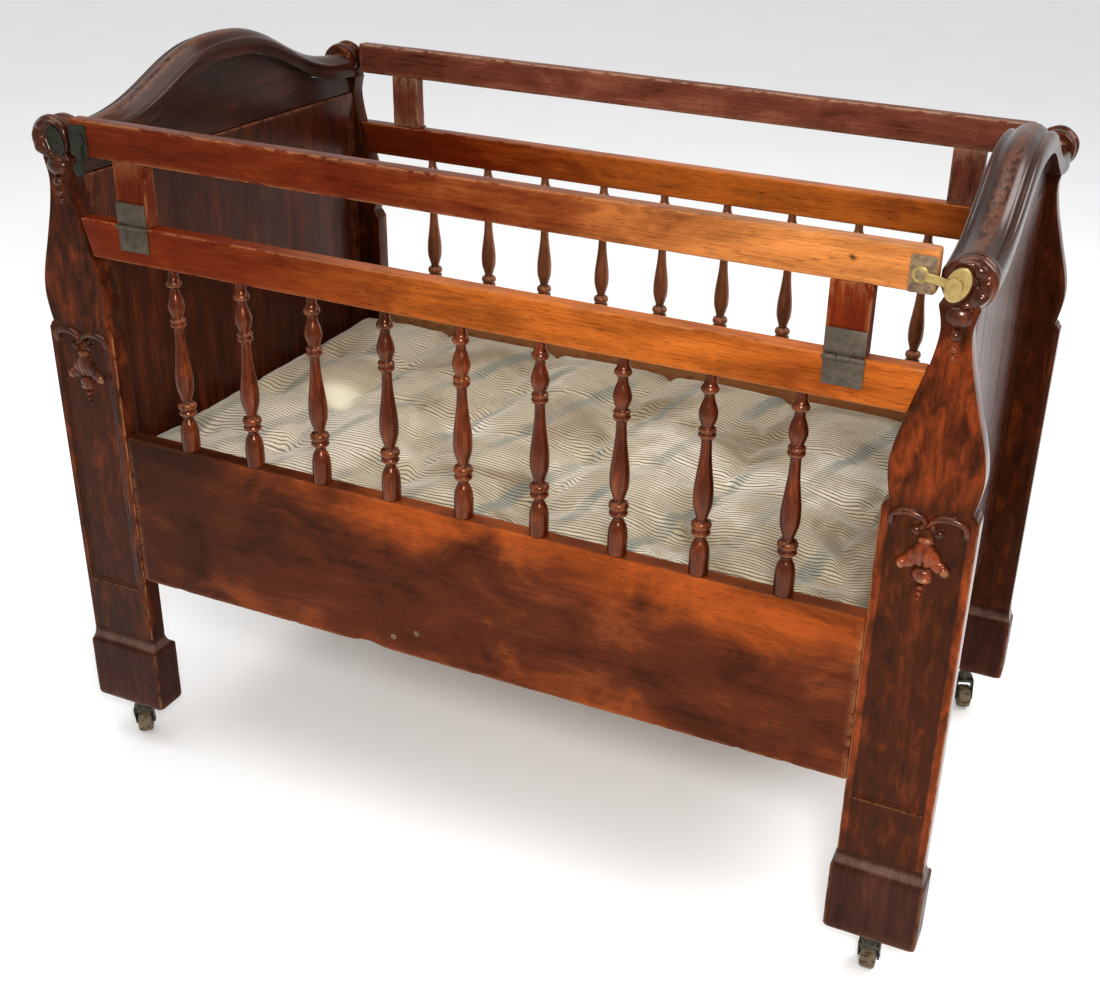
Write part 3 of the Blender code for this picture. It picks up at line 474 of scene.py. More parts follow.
def make_materials():
    return {
        "rail": wood("mahogany_rail", (0.07, 0.008, 0.002), (0.125, 0.018, 0.004), (0.19, 0.034, 0.006),
                     figure=0.35, zone_colour=(0.43, 0.12, 0.019), gloss=0.24, contrast=1.5),
        "gate": wood("gate_mahogany", (0.06, 0.008, 0.002), (0.105, 0.016, 0.004), (0.17, 0.034, 0.007),
                     figure=0.35, zone_colour=(0.5, 0.19, 0.055), gloss=0.24),
        "apron": wood("flame_veneer", (0.036, 0.009, 0.0035), (0.08, 0.019, 0.0075), (0.145, 0.038, 0.0125),
                      figure=0.6, zone_colour=(0.32, 0.072, 0.013), gloss=0.24, mottle=(8.0, 13.0),
                      contrast=1.6, patchy=1.3),
        "post": wood("post_mahogany", (0.015, 0.004, 0.0018), (0.036, 0.0083, 0.0029), (0.082, 0.018, 0.0048),
                     figure=0.6, zone_colour=(0.22, 0.044, 0.01), gloss=0.17, coat=0.05, mottle=(24.0, 60.0),
                     contrast=1.5, shine=0.22, patchy=1.1),
        # The foot blocks' zone colour is a painted highlight along the cove.
        "block": wood("block_mahogany", (0.02, 0.008, 0.006), (0.04, 0.014, 0.01), (0.072, 0.025, 0.016),
                      figure=0.4, zone_colour=(0.13, 0.075, 0.058), gloss=0.34, coat=0.06),
        # The spindles' zone colour paints the back spindles lighter: painted light where the lamps leave them dark.
        "spindle": wood("spindle_mahogany", (0.02, 0.004, 0.0012), (0.064, 0.011, 0.003), (0.16, 0.034, 0.008),
                        figure=0.4, zone_colour=(0.23, 0.085, 0.04), gloss=0.18, coat=0.22, mottle=(20.0, 60.0),
                        shine=0.45),
        "crest": wood("crest_mahogany", (0.01, 0.004, 0.003), (0.024, 0.008, 0.005), (0.052, 0.015, 0.008),
                      figure=0.4, worn=(0.16, 0.065, 0.035), gloss=0.24, coat=0.4),
        "end": wood("end_mahogany", (0.016, 0.0042, 0.0024), (0.04, 0.0095, 0.0042), (0.092, 0.021, 0.0078),
                    figure=0.35, gloss=0.26, worn=(0.3, 0.11, 0.05), coat=0.2, shine=0.2),
        "back": wood("dull_mahogany", (0.06, 0.018, 0.012), (0.15, 0.046, 0.028), (0.24, 0.086, 0.05),
                     figure=0.45, worn=(0.42, 0.28, 0.18), gloss=0.34, coat=0.06),
        "base": wood("bare_softwood", (0.2, 0.11, 0.05), (0.34, 0.21, 0.11), (0.47, 0.32, 0.18),
                     figure=0.2, worn=(0.5, 0.38, 0.24), gloss=0.6, coat=0.0),
        "iron": metal("hinge_iron", (0.095, 0.074, 0.052), (0.07, 0.054, 0.038), 0.44, 0.5),
        "caster": metal("caster_iron", (0.07, 0.066, 0.048), (0.03, 0.028, 0.022), 0.4, 0.6),
        "plate": metal("dark_brass", (0.23, 0.155, 0.085), (0.11, 0.075, 0.045), 0.42, 0.4),
        "brass": metal("worn_brass", (0.36, 0.265, 0.1), (0.22, 0.145, 0.055), 0.32, 0.55, share=0.42),
        "patina": metal("green_brass", (0.046, 0.04, 0.026), (0.024, 0.026, 0.017), 0.46, 0.5, share=0.6),
        "wheel": wood("wheel_wood", (0.045, 0.032, 0.018), (0.08, 0.058, 0.035), (0.115, 0.088, 0.056),
                      figure=0.3, worn=(0.34, 0.29, 0.21), gloss=0.5, coat=0.0),
        "ticking": make_ticking(),
    }


def make_ticking():
    """Cream cotton with thin grey-blue stripes along X and wide faint teal bands across them."""
    s = Shader("mattress_ticking")
    place = s.attribute("grain")
    x, y = [s.node("SeparateXYZ", axis, Vector=place) for axis in "XY"]
    drift = (s.noise(place, 11.0) - 0.5) * 0.016
    sway = (s.noise(place, 7.0, 2.0) - 0.5) * 0.03
    # the stripes bend where the cloth is pulled into a seam
    from_seam = s.maths("PINGPONG", x + 0.372 + sway * 0.4, 0.1025)
    fold = s.span(from_seam, 0.0, 0.042, 1.0, 0.0) * (s.noise(place, 16.0, 2.0) * 0.034)
    line = s.maths("PINGPONG", y + drift - fold, 0.00315)
    stripe = s.span(line, 0.00178, 0.00232) * s.span(s.streaks(420.0, 900.0, 2.0, 0.6), 0.28, 0.6, 0.55, 1.0)
    band = s.span(s.maths("PINGPONG", x + sway + y * -0.24, 0.0525), 0.0385, 0.047)
    patchy = s.span(s.noise(place, 9.0), 0.35, 0.65, 0.15, 0.75)
    stain = s.noise(place, 5.0, 4.0, 0.6, 0.6)
    cream = s.ramp(stain, [(0.34, (0.265, 0.195, 0.115)), (0.48, (0.43, 0.355, 0.245)),
                           (0.62, (0.59, 0.515, 0.405))])
    cloth = s.mix(band * patchy * 0.8, cream, (0.1, 0.15, 0.14))
    bare = s.attribute("zone")
    cloth = s.mix(stripe * s.maths("SUBTRACT", 0.94, bare, clamp=True), cloth, (0.042, 0.048, 0.047))
    cloth = s.mix(bare * 0.8, cloth, (0.66, 0.62, 0.47))
    # Painted shade: browner by the dirt level, at the tufts and towards the left end.
    cloth = s.mix(s.attribute("dirt") * 0.6, cloth, (0.2, 0.145, 0.085))
    weave = (s.maths("PINGPONG", x, 0.0004) + s.maths("PINGPONG", y, 0.0004)) * 900.0
    crease = s.bump(s.streaks(30.0, 60.0, 4.0, 0.6, 0.5, third=30.0), 0.35, 0.003)
    return s.finish(Base_Color=cloth, Roughness=0.92, Normal=s.bump(weave, 0.12, 0.0004, crease),
                    Sheen_Weight=0.25, Sheen_Roughness=0.5, Specular_IOR_Level=0.2)


# ---------------------------------------------------------------- posts
def lyre_half(z):
    curve = np.array(smooth_curve(LYRE, 12))
    return np.interp(z, curve[:, 0], curve[:, 1])


def post_half_width(z):
    """Half width of the board at any height from foot to knob."""
    shoulder_end = LYRE[0][0]
    straight = np.full_like(z, LEG_HALF)
    nick = LEG_HALF - 0.0035 * ease(SHOULDER, SHOULDER + 0.006, z)
    nick = nick - (LEG_HALF - 0.0035 - LYRE[0][1]) * ease(SHOULDER + 0.006, shoulder_end, z)
    half = np.where(z <= SHOULDER, straight, nick)
    half = np.where(z > shoulder_end, lyre_half(z), half)
    return np.where(z > NECK_TOP, np.interp(z, [NECK_TOP, 0.919, 0.929], [0.0215, 0.0165, 0.01]), half)


def roll(distance, centre, half, height):
    """Half-round moulding on a flat ground, centred at one distance."""
    return height * np.clip(1 - ((distance - centre) / half) ** 2, 0, 1) ** 0.7


def flower_height(x, z):
    """Height of the carved flower, its curls and its hanging beads over the sunk field."""
    carved = np.zeros_like(x)
    for side in (-1, 1):
        sx = side * x
        for place, wide, tall, rise, turn in (((0.0125, 0.653), 0.007, 0.0056, 0.0044, 30),
                                              ((0.0062, 0.659), 0.0058, 0.0046, 0.004, -40),
                                              ((0.01, 0.6225), 0.0105, 0.013, 0.005, 30),
                                              ((0.0165, 0.614), 0.011, 0.0092, 0.0054, -15),
                                              ((0.0232, 0.6105), 0.007, 0.0082, 0.0072, 20)):
            carved = np.maximum(carved, dome(sx, z, place, wide, tall, rise, turn))
    carved = np.maximum(carved, dome(x, z, (0, 0.625), 0.015, 0.0185, 0.0064))
    carved = np.maximum(carved, dome(x, z, (0, 0.6425), 0.0105, 0.005, 0.0058))
    petal = dome(x, z, (0.001, 0.6), 0.0125, 0.0115, 0.0062)
    lip = dome(x, z, (0.003, 0.595), 0.0105, 0.0052, 0.0072, 8)
    carved = np.maximum(carved, np.maximum(petal, lip) * ease(0.611, 0.606, z))
    under_body = 0.5 * np.exp(-((z - 0.6075) / 0.0016) ** 2) * (np.abs(x) < 0.0095)
    slit = np.exp(-(x / 0.0013) ** 2) * ease(0.6195, 0.6165, z) * ease(0.6075, 0.6095, z)
    carved = carved * (1 - 0.45 * np.minimum(1.0, under_body + slit))
    for height, radius in ((0.5842, 0.005), (0.5768, 0.0041), (0.57, 0.0031)):
        carved = np.maximum(carved, dome(x, z, (0, height), radius, radius * 0.8, radius * 0.95))
    return carved


def post_relief(x, z):
    """Height of the carving over the face of a post; x is outwards along the crib from its centre line."""
    arch_x = np.clip((np.abs(x) - PANEL_HALF / 2) / (PANEL_HALF / 2), -1, 1)
    arch_top = PANEL_SPRING + PANEL_ARCH * np.sqrt(1 - arch_x ** 2)
    inside = np.minimum(np.minimum(PANEL_HALF - np.abs(x), z - PANEL_LOW), (arch_top - z) * 0.85)
    on_arch = ease(PANEL_SPRING - 0.016, PANEL_SPRING + 0.002, z)
    sunk = 0.0018
    side_roll = 0.0009 * np.exp(-((inside - 0.0046) / 0.0018) ** 2) * (1 - on_arch)
    arch_roll = roll(inside, 0.004, 0.0044, 0.0066) * on_arch
    level = np.maximum(side_roll, arch_roll) - sunk * ease(0.0, 0.004, inside)
    carved = flower_height(x, z)
    level = np.where(carved > 0.00005, np.maximum(level, carved - sunk), level)
    for height, wide, tall, rise in ((0.9, 0.015, 0.0125, 0.0072), (0.88, 0.0074, 0.0072, 0.0062),
                                     (0.865, 0.0054, 0.005, 0.0046), (0.8555, 0.004, 0.0038, 0.0032)):
        level = level + dome(x, z, (0, height), wide, tall, rise)
    return level - 0.0003 * ease(NECK_TOP - 0.0005, NECK_TOP + 0.0005, z)


def post_board():
    """Carved board of the front right post, with its centre line at X = 0."""
    stretches = ((LEG_FOOT, 0.272, 0.008), (0.272, 0.29, 0.0012), (0.29, 0.56, 0.008), (0.56, 0.69, 0.0009),
                 (0.69, 0.85, 0.005), (0.85, 0.912, 0.0011), (0.912, 0.929, 0.004))
    heights = np.concatenate([np.arange(start, stop, step) for start, stop, step in stretches] + [[0.929]])
    columns = np.linspace(-1, 1, 121)
    bend, quarter = 0.0022, np.radians(22.5)
    turns = quarter * np.arange(1, 5)
    rings = []
    for z, half in zip(heights, post_half_width(heights)):
        inner = half - bend
        x = columns * inner
        ring = [rows(x, -(POST_FACE + post_relief(x, np.full_like(x, z))), z)]
        for side in (1, -1):
            fore = rows(side * (inner + bend * np.sin(turns)), -(POST_FACE - bend + bend * np.cos(turns)), z)
            rear = rows(side * (inner + bend * np.cos(turns - quarter)),
                        -(POST_BACK + bend - bend * np.sin(turns - quarter)), z)
            corner = np.concatenate([fore, rear])
            if side < 0:
                corner = corner[::-1]
                ring.append(rows(np.linspace(inner * 0.9, -inner * 0.9, 7), -POST_BACK, z))
            ring.append(corner)
        rings.append(np.concatenate(ring))
    return loft(rings)


KEEPER_X, KEEPER_Z, KEEPER_WIDE, KEEPER_TALL, KEEPER_TILT = 0.5703, 0.9325, 0.0125, 0.0195, math.radians(20)


def knob_relief(a, b):
    """Scrolled roll around the face of a knob, which leaves a flat for the keeper; a, b are from its centre."""
    away, turn = np.hypot(a, b), np.degrees(np.arctan2(b, a))
    reach = ease(-78, -50, turn) * ease(158, 120, turn)
    cuts = sum(depth * np.exp(-((turn - place) / 12.0) ** 2) for place, depth in ((84, 0.4), (34, 0.48)))
    lift = roll(away, 0.0178, 0.0086, 0.0068) * reach * (1 - cuts)
    lift = np.maximum(lift, dome(a, b, (0.013, -0.0115), 0.014, 0.014, 0.0082))
    lift = np.maximum(lift, dome(a, b, (-0.001, -0.0225), 0.01, 0.007, 0.0048))
    from_button = np.hypot(a - 0.014, b + 0.0125)
    lift = lift + 0.0006 * np.sin(np.clip(from_button / 0.01, 0, 1) * 2 * math.pi) * (from_button < 0.01)
    dx, dz = KNOB_OUT + a + POST_X - KEEPER_X, KNOB_Z + b - KEEPER_Z
    c, s = math.cos(KEEPER_TILT), math.sin(KEEPER_TILT)
    oval = np.hypot((dx * c - dz * s) / (KEEPER_WIDE + 0.0012), (dx * s + dz * c) / (KEEPER_TALL + 0.0012))
    return lift * ease(1.0, 1.26, oval)


def knob_shape():
    """Scroll knob of the front right post, with its button low on the outboard side."""
    angles = np.linspace(0, 2 * math.pi, 84, endpoint=False)
    rings = []
    for radius in np.linspace(0.0004, KNOB_R - 0.003, 34):
        a, b = radius * np.cos(angles), radius * np.sin(angles)
        fade = ease(KNOB_R - 0.0024, KNOB_R - 0.0062, np.full_like(a, radius))
        rings.append(rows(KNOB_OUT + a, -(POST_FACE + 0.00015 + knob_relief(a, b) * fade), KNOB_Z + b))
    rim = [(0.3394, 0.0272), (0.338, 0.0282), (0.3355, 0.0289), (0.3315, 0.029), (0.3275, 0.028),
           (0.3245, 0.0258), (0.323, 0.0248), (0.3215, 0.0255), (0.319, 0.0268), (0.314, 0.027),
           (0.308, 0.0267), (0.3035, 0.0252), (KNOB_BACK, 0.023)]
    lobes = 1 - 0.022 * (0.5 + 0.5 * np.cos(6 * angles + 0.9))
    for depth, radius in rim:
        rings.append(rows(KNOB_OUT + radius * lobes * np.cos(angles), -depth,
                          KNOB_Z + radius * lobes * np.sin(angles)))
    return loft(rings)


def post_marks(points, sign_x):
    """Red figure on the lyre, flower and panel's frame, painted shade in the hollows and side grooves and on the
    left posts, darker towards the foot, glossy carving, rubbed corners, painted highlights on the flower's tips and
    the panel's lower ledge.
    """
    x, z = (points[:, 0] - sign_x * POST_X) * sign_x, points[:, 2]
    face, aside = np.abs(points[:, 1]), np.abs(x)
    relief = post_relief(x, z)

    lyre = ease(0.66, 0.7, z) * (1 - ease(0.86, 0.9, z))
    border = ease(PANEL_HALF - 0.003, PANEL_HALF + 0.001, aside) * (1 - ease(0.66, 0.68, z))
    flower = ease(0.0002, 0.004, flower_height(x, z)) * (z < 0.65)
    scrolls = ease(0.0012, 0.0036, relief) * (z > 0.645) * (z < 0.7)
    red = (0.46 * lyre + 0.58 * border + 0.66 * flower + 0.18 * scrolls) * (1.0 if sign_x > 0 else 0.55)

    step = 0.0016
    near = sum(post_relief(x + dx, z + dz) for dx, dz in ((step, 0), (-step, 0), (0, step), (0, -step))) / 4
    in_front = face > POST_FACE - 0.006
    # Painted shade: darker in the hollows of the carving and in a line along the panel's side grooves.
    hollow = np.clip((near - relief) / 0.0016, 0, 1) * in_front * (z < 0.9)
    groove = 0.55 * np.exp(-((PANEL_HALF - aside - 0.0026) / 0.0013) ** 2)
    hollow = hollow + groove * (z > PANEL_LOW) * (z < PANEL_SPRING) * in_front / 0.24
    # Painted shade: the left posts darker, more so on their outboard half, for the light falling off towards the
    # left.
    left_post_shade = 0.16 * (sign_x < 0) * (1 + ease(-0.02, 0.02, x))

    corner = ease(-0.0022, -0.0008, aside - LEG_HALF) * ease(-0.0022, -0.0008, face - POST_FACE)
    # Painted highlights: lighter on the flower's side tips, its lower lip and its neck, and along the panel's lower
    # ledge.
    tip_highlights = (dome(aside, z, (0.025, 0.608), 0.0056, 0.007, 0.66) + dome(x, z, (0.003, 0.594), 0.0095, 0.0046, 0.6)
            + dome(x, z, (0, 0.644), 0.0085, 0.0036, 0.4))
    ledge = 0.3 * np.exp(-((z - PANEL_LOW + 0.0004) / 0.0012) ** 2) * (aside < PANEL_HALF - 0.002)
    on_face = face > POST_FACE - 0.004
    return {"zone": np.clip(red * ease(POST_FACE - 0.008, POST_FACE - 0.002, face), 0, 1),
            # Painted shade in the hollows and on the left posts, and darker towards the foot.
            "dirt": np.clip(0.24 * hollow + 0.3 * (1 - ease(0.2, 0.3, z)) + left_post_shade, 0, 1),
            "polish": np.clip(ease(0.0004, 0.0022, relief) + (z > NECK_TOP), 0, 1) * on_face,
            # Rubbed wear on the corners, and painted highlights on the tips and the ledge.
            "wear": np.clip(0.6 * corner + (tip_highlights + ledge) * on_face, 0, 1)}


def build_posts(paint):
    post = join(post_board(), knob_shape())
    for number, (corner, (sign_x, sign_y)) in enumerate(CORNERS.items()):
        shape = move(mirror(post, sign_x, -sign_y), (sign_x * POST_X, 0, 0))
        add_piece(f"carved_post_{corner}", shape, paint["post"], "root", "post_wood", [f"post_{corner}"], "z",
                  seed=3.1 + number, sharp=60, marks=lambda p, s=sign_x: post_marks(p, s))


def block_shape():
    """Foot block of the front right corner, with a cove up to the leg and rounded lower corners."""
    low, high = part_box("foot_block_front_right")
    half, front, back = (high.x - low.x) / 2, -low.y, -high.y
    edge = 0.1735
    # height, inset and corner radius
    levels = [(low.z, 0.005, 0.005), (low.z + 0.001, 0.0028, 0.0045), (low.z + 0.0035, 0.0008, 0.004),
              (low.z + 0.007, 0.0, 0.0035)]
    levels += [(z, 0.0, 0.003) for z in np.linspace(low.z + 0.018, edge - 0.004, 9)]
    levels += [(edge - 0.001, 0.0003, 0.003), (edge, 0.0012, 0.003)]
    rings = []
    for z, inset, radius in levels:
        ring = rounded_ring((-half + inset, -front + inset), (half - inset, -back - inset), radius + inset,
                            margin=0.003, spans=(7, 3))
        rings.append(rows(*ring.T, z))
    for share in (0.12, 0.3, 0.5, 0.7, 0.85, 1.0):
        pull = 0.25 + 0.75 * (1 - (1 - share) ** 2.2)
        wide = half - 0.0055 * pull
        ring = rounded_ring((-wide, -front + (front - POST_FACE) * pull),
                            (wide, -back - (POST_BACK - back) * pull), 0.003, margin=0.003, spans=(7, 3))
        rings.append(rows(*ring.T, edge + (high.z - edge) * share))
    points, faces = loft(rings)
    points = points + 0.0004 * np.stack([ripple(points, 0.03, k) for k in (1, 2, 3)], axis=1) * [1, 1, 0]
    return np.clip(points, [-half, -front, low.z], [half, -back, high.z]), faces


def block_wear(points):
    low, high = np.min(points, axis=0), np.max(points, axis=0)
    corner = 1 - ease(0.0, 0.01, np.minimum(points[:, 2] - low[2], 0.05))
    edge = edge_wear((low[0], low[1], -1), (high[0], high[1], 2), 0.005)(points)
    return np.clip(0.9 * corner * (0.4 + 0.6 * edge) + 0.45 * edge, 0, 1)


def block_cove_highlight(points):
    """Painted highlight: a light band along the cove."""
    z = points[:, 2]
    return ease(0.1745, 0.18, z) * (1 - ease(0.186, 0.193, z))


def build_blocks(paint):
    block = block_shape()
    for number, (corner, (sign_x, sign_y)) in enumerate(CORNERS.items()):
        shape = move(mirror(block, sign_x, -sign_y), (sign_x * POST_X, 0, 0))
        # The zone level paints a highlight along the cove.
        add_piece(f"turned_out_foot_{corner}", shape, paint["block"], "root", "block_wood",
                  [f"foot_block_{corner}"], "z", seed=11.7 + number, sharp=50, wear=block_wear,
                  zone=block_cove_highlight, dirt=0.1)


# ---------------------------------------------------------------- sides
def apron_shape(side, sign):
    """Board with slightly chipped lower edge."""
    low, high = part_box(f"apron_{side}")
    points, faces = board(low, high, 0.0022, "x", 0.0075, 0.0004, 5.0 + sign, spacing=0.02)
    near_bottom = 1 - ease(0.0, 0.012, points[:, 2] - low.z)
    flat = points * [1, 0.2, 0.2]
    chip = np.clip(ripple(flat, 0.021, 8 + sign) - 0.18, 0, 1) * 0.0045
    chip += np.clip(ripple(flat, 0.006, 3 + sign), 0, 1) * 0.0006
    if side == "front":
        chip += 0.005 * np.exp(-((points[:, 0] + 0.145) / 0.02) ** 2)
    points[:, 2] += chip * near_bottom
    return points, faces


def apron_marks(points, side):
    """A bright flame along the top, a dark left end of painted shade, dust on top, rubbed lower corners, and tan
    wood inside.
    """
    low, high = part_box(f"apron_{side}")
    x, y, z = points.T
    bottom, top = z.min(), z.max()
    level = (z - bottom) / (top - bottom)
    wave = 0.09 * np.sin(x * 11.0 + 0.8) + 0.05 * np.sin(x * 27.0)
    flame = ease(0.58 + wave, 0.96 + wave, level) * (0.2 + 0.75 * ease(-0.42, 0.05, x))
    glow = 0.2 * (1 - ease(0.0, 0.34, level - wave))
    rubbed = edge_wear(low, high, 0.004, 0.7)(points) * (1 - 0.8 * ease(high.z - 0.03, high.z - 0.01, z))
    if side == "back":
        rubbed = np.maximum(rubbed, 1.6 * (y < low.y + 0.0012))
    return {"zone": np.clip(flame + glow, 0, 1), "wear": rubbed,
            # Painted shade at the left end for the light falling off towards the left, and real dust along the top.
            "dirt": 0.62 * np.maximum(1 - ease(-0.48, -0.08, x), ease(top - 0.0012, top - 0.0003, z))}


def rail_marks(points, side):
    """A rail turns from red at its left end to orange; the one at the back has painted shade at its left end."""
    x = points[:, 0]
    return {"zone": 0.92 * ease(-0.5, 0.2, x) - 0.3 * ease(0.22, 0.45, x),
            # Painted shade at the left end of the back rail.
            "dirt": 0.55 * (1 - ease(-0.5, -0.18, x)) * (side == "back")}


def spindle_rail_shape(sign, low, high):
    """Rail whose ends follow the waist of the posts."""
    points, faces = board(low, high, 0.0028, "x", 0.03, 0.0004, 2.0 + sign)
    reach = POST_X - lyre_half(points[:, 2]) - 0.0004
    points[:, 0] *= reach / high.x
    return points, faces


def add_spindle(name, x, sign, paint, number, replaces):
    """Turned spindle, with painted shade in its hollows and rubbed on its rings; the back ones are lightened with
    painted light.
    """
    profile = smooth_curve(SPINDLE, 3)
    heights, radii = np.array(profile[::-1]).T

    def beyond(z, reach):
        """How far the turning stands out from its mean a little above and below."""
        above, at, below = [np.interp(z + shift, heights, radii) for shift in (reach, 0, -reach)]
        return at - (above + below) / 2

    shape = turned(profile, 30, (x, sign * SPINDLE_Y))
    # Painted light on the back spindles through the zone level, and painted shade in the hollows of the turning
    # through the dirt level.
    add_piece(name, shape, paint["spindle"], "root", "spindle_wood", replaces, "z", seed=20 + 1.7 * number, sharp=70,
              zone=0.85 if sign > 0 else 0.0,
              dirt=lambda p: 0.9 * np.clip(-beyond(p[:, 2], 0.004) / 0.003, 0, 1),
              wear=lambda p: 0.35 * np.clip(beyond(p[:, 2], 0.003) / 0.0018, 0, 1))


APRON_SCREWS = (((-0.104, 0.324), 0.6), ((-0.068, 0.339), 2.0))


def build_sides(paint):
    for side, sign in SIDES.items():
        add_piece(f"apron_board_{side}", apron_shape(side, sign), paint["apron"], "root", "apron_veneer",
                  [f"apron_{side}"], "x", seed=1.0 + sign, marks=lambda p, s=side: apron_marks(p, s))
        if side == "front":
            face = -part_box("apron_front")[0].y
            screws = [screw_head(centre, sign, face, 0.0042, turn) for centre, turn in APRON_SCREWS]
            add_piece("apron_screws", join(*screws), paint["plate"], "root", "hinge_iron", seed=58, sharp=35)
        low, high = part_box("spindle_rail_front")
        if sign > 0:
            low, high = Vector((low.x, -high.y, low.z)), Vector((high.x, -low.y, high.z))
        stands_for = ["spindle_rail_front"] if side == "front" else ["balustrade_back"]
        add_piece(f"rail_over_spindles_{side}", spindle_rail_shape(sign, low, high), paint["rail"], "root",
                  "rail_wood", stands_for, "x", seed=6.0 + sign, wear=edge_wear(low, high, 0.0035, 0.7),
                  marks=lambda p, s=side: rail_marks(p, s))
        for number in range(SPINDLES):
            x = (number - (SPINDLES - 1) / 2) * SPINDLE_PITCH
            replaced = [f"spindle_front_{number + 1}"] if side == "front" else []
            add_spindle(f"turned_spindle_{side}_{number + 1}", x, sign, paint, number + SPINDLES * (sign > 0),
                        replaced)


# ---------------------------------------------------------------- ends
def crest_top(y):
    return CREST_BASE + CREST_RISE * np.exp(-(np.abs(y) / CREST_SPREAD) ** CREST_POWER)


def crest_shape(sign):
    section = np.array(CREST_SECTION)
    rings = []
    for y in np.linspace(-CREST_END, CREST_END, 121):
        rings.append(rows(sign * (POST_X + section[:, 0]), y, crest_top(y) - section[:, 1]))
    return loft(rings)


def crest_wear(points):
    """Rubbed along the top."""
    return 0.55 * (1 - ease(0.0, 0.004, crest_top(points[:, 1]) - points[:, 2]))


def upper_board_shape(sign):
    """Board between the ledge and the crest rail, which it fits under."""
    low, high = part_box("upper_end_board_right")
    rings = []
    for y in np.concatenate([np.linspace(low.y, -CREST_END, 4), np.linspace(-CREST_END, CREST_END, 81)[1:-1],
                             np.linspace(CREST_END, high.y, 4)]):
        top = crest_top(y) - 0.0345 if abs(y) < CREST_END - 0.001 else KNOB_Z - 0.029
        inner, outer, edge = low.x, high.x, 0.001
        ring = [(inner, low.z + edge), (inner + edge, low.z), (outer - edge, low.z), (outer, low.z + edge),
                (outer, top), (inner, top)]
        rings.append([(sign * a, y, b) for a, b in ring])
    return loft(rings)


def build_ends(paint):
    for end, sign in ENDS.items():
        add_piece(f"moulded_crest_{end}", crest_shape(sign), paint["crest"], "root", "crest_wood",
                  [f"crest_rail_{end}"], "y", seed=31 + sign, sharp=75, wear=crest_wear)
        add_piece(f"upper_board_{end}", upper_board_shape(sign), paint["crest"], "root", "crest_wood",
                  [f"upper_end_board_{end}"], "y", seed=34 + sign, sharp=40)
        low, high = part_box(f"lower_end_board_{end}")
        lower = board(low, high, 0.0015, "y", 0.04, 0.0003, 9 + sign)
        add_piece(f"lower_board_{end}", lower, paint["end"], "root", "end_wood", [f"lower_end_board_{end}"], "z",
                  seed=37 + sign, wear=edge_wear(low, high, 0.003, 0.6))


# ---------------------------------------------------------------- bed base
LEDGER_HALF, LEDGER_TOP, LEDGER_DEEP = 0.515, 0.411, 0.02
SLATS, SLAT_PITCH, SLAT_HALF_WIDE, SLAT_HALF_LONG, SLAT_SUNK = 9, 0.122, 0.04, 0.3105, 0.0015


def build_base(paint):
    low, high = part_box("slat_base")
    for side, sign in SIDES.items():
        inner, outer = sorted((sign * high.y, sign * (high.y - LEDGER_DEEP)))
        strip = board((-LEDGER_HALF, inner, low.z), (LEDGER_HALF, outer, LEDGER_TOP), 0.001)
        add_piece(f"ledger_strip_{side}", strip, paint["base"], "root", "base_wood",
                  ["slat_base"] if side == "front" else [], "x", seed=41 + sign)
    for number in range(SLATS):
        x = (number - (SLATS - 1) / 2) * SLAT_PITCH
        slat = board((x - SLAT_HALF_WIDE, -SLAT_HALF_LONG, LEDGER_TOP - SLAT_SUNK),
                     (x + SLAT_HALF_WIDE, SLAT_HALF_LONG, high.z), 0.0012, "y", 0.03)
        add_piece(f"bed_slat_{number + 1}", slat, paint["base"], "root", "base_wood", (), "y", seed=43 + number,
                  wear=0.2, dirt=0.15)


# ---------------------------------------------------------------- mattress
TUFT_X = [-0.5, -0.372, -0.167, 0.038, 0.243, 0.448]
TUFT_Y = [-0.209, -0.037, 0.131]
SEAM_X = [-0.577, *TUFT_X[1:]]
PAD_STEP, PAD_SWELL, PAD_TOP = 0.007, 0.03, 0.527     # grid, most that a point moves, highest point


def mattress_block(step):
    """Plain pad of even quads, the start of the simulation."""
    low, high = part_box("mattress")
    bm = bmesh.new()
    bmesh.ops.create_cube(bm, size=1.0)
    size = (high - low) - Vector((0.012, 0.012, 0.016))
    centre = (low + high) / 2 - Vector((0, 0, 0.004))
    place = Matrix.Translation(centre) @ Matrix.Diagonal((*size, 1.0))
    bmesh.ops.transform(bm, matrix=place, verts=bm.verts[:])
    mesh = bpy.data.meshes.new("pad")
    bm.to_mesh(mesh)
    bm.free()
    pad = put_in_scene("pad", mesh)
    bevel = pad.modifiers.new("soft_edges", "BEVEL")
    bevel.width = 0.018
    bevel.segments = 4
    remesh = pad.modifiers.new("even", "REMESH")
    remesh.mode = "VOXEL"
    remesh.voxel_size = step
    return applied(pad)


def tuft_weight(points, reach):
    """1 at a tuft, falling to 0 at reach from it."""
    level = np.zeros(len(points))
    for x in TUFT_X:
        for y in TUFT_Y:
            away = np.hypot(points[:, 0] - x, points[:, 1] - y)
            level = np.maximum(level, 1 - ease(0.0, reach, away))
    return level


def seam_weight(points, reach):
    """1 along the stitched lines that run across the pad through its tufts, falling to 0 at reach."""
    wander = 0.006 * np.sin(points[:, 1] * 23.0) + 0.003 * np.sin(points[:, 1] * 61.0)
    away = np.min([np.abs(points[:, 0] - x - wander) for x in SEAM_X], axis=0)
    return 1 - ease(0.0, reach, away)


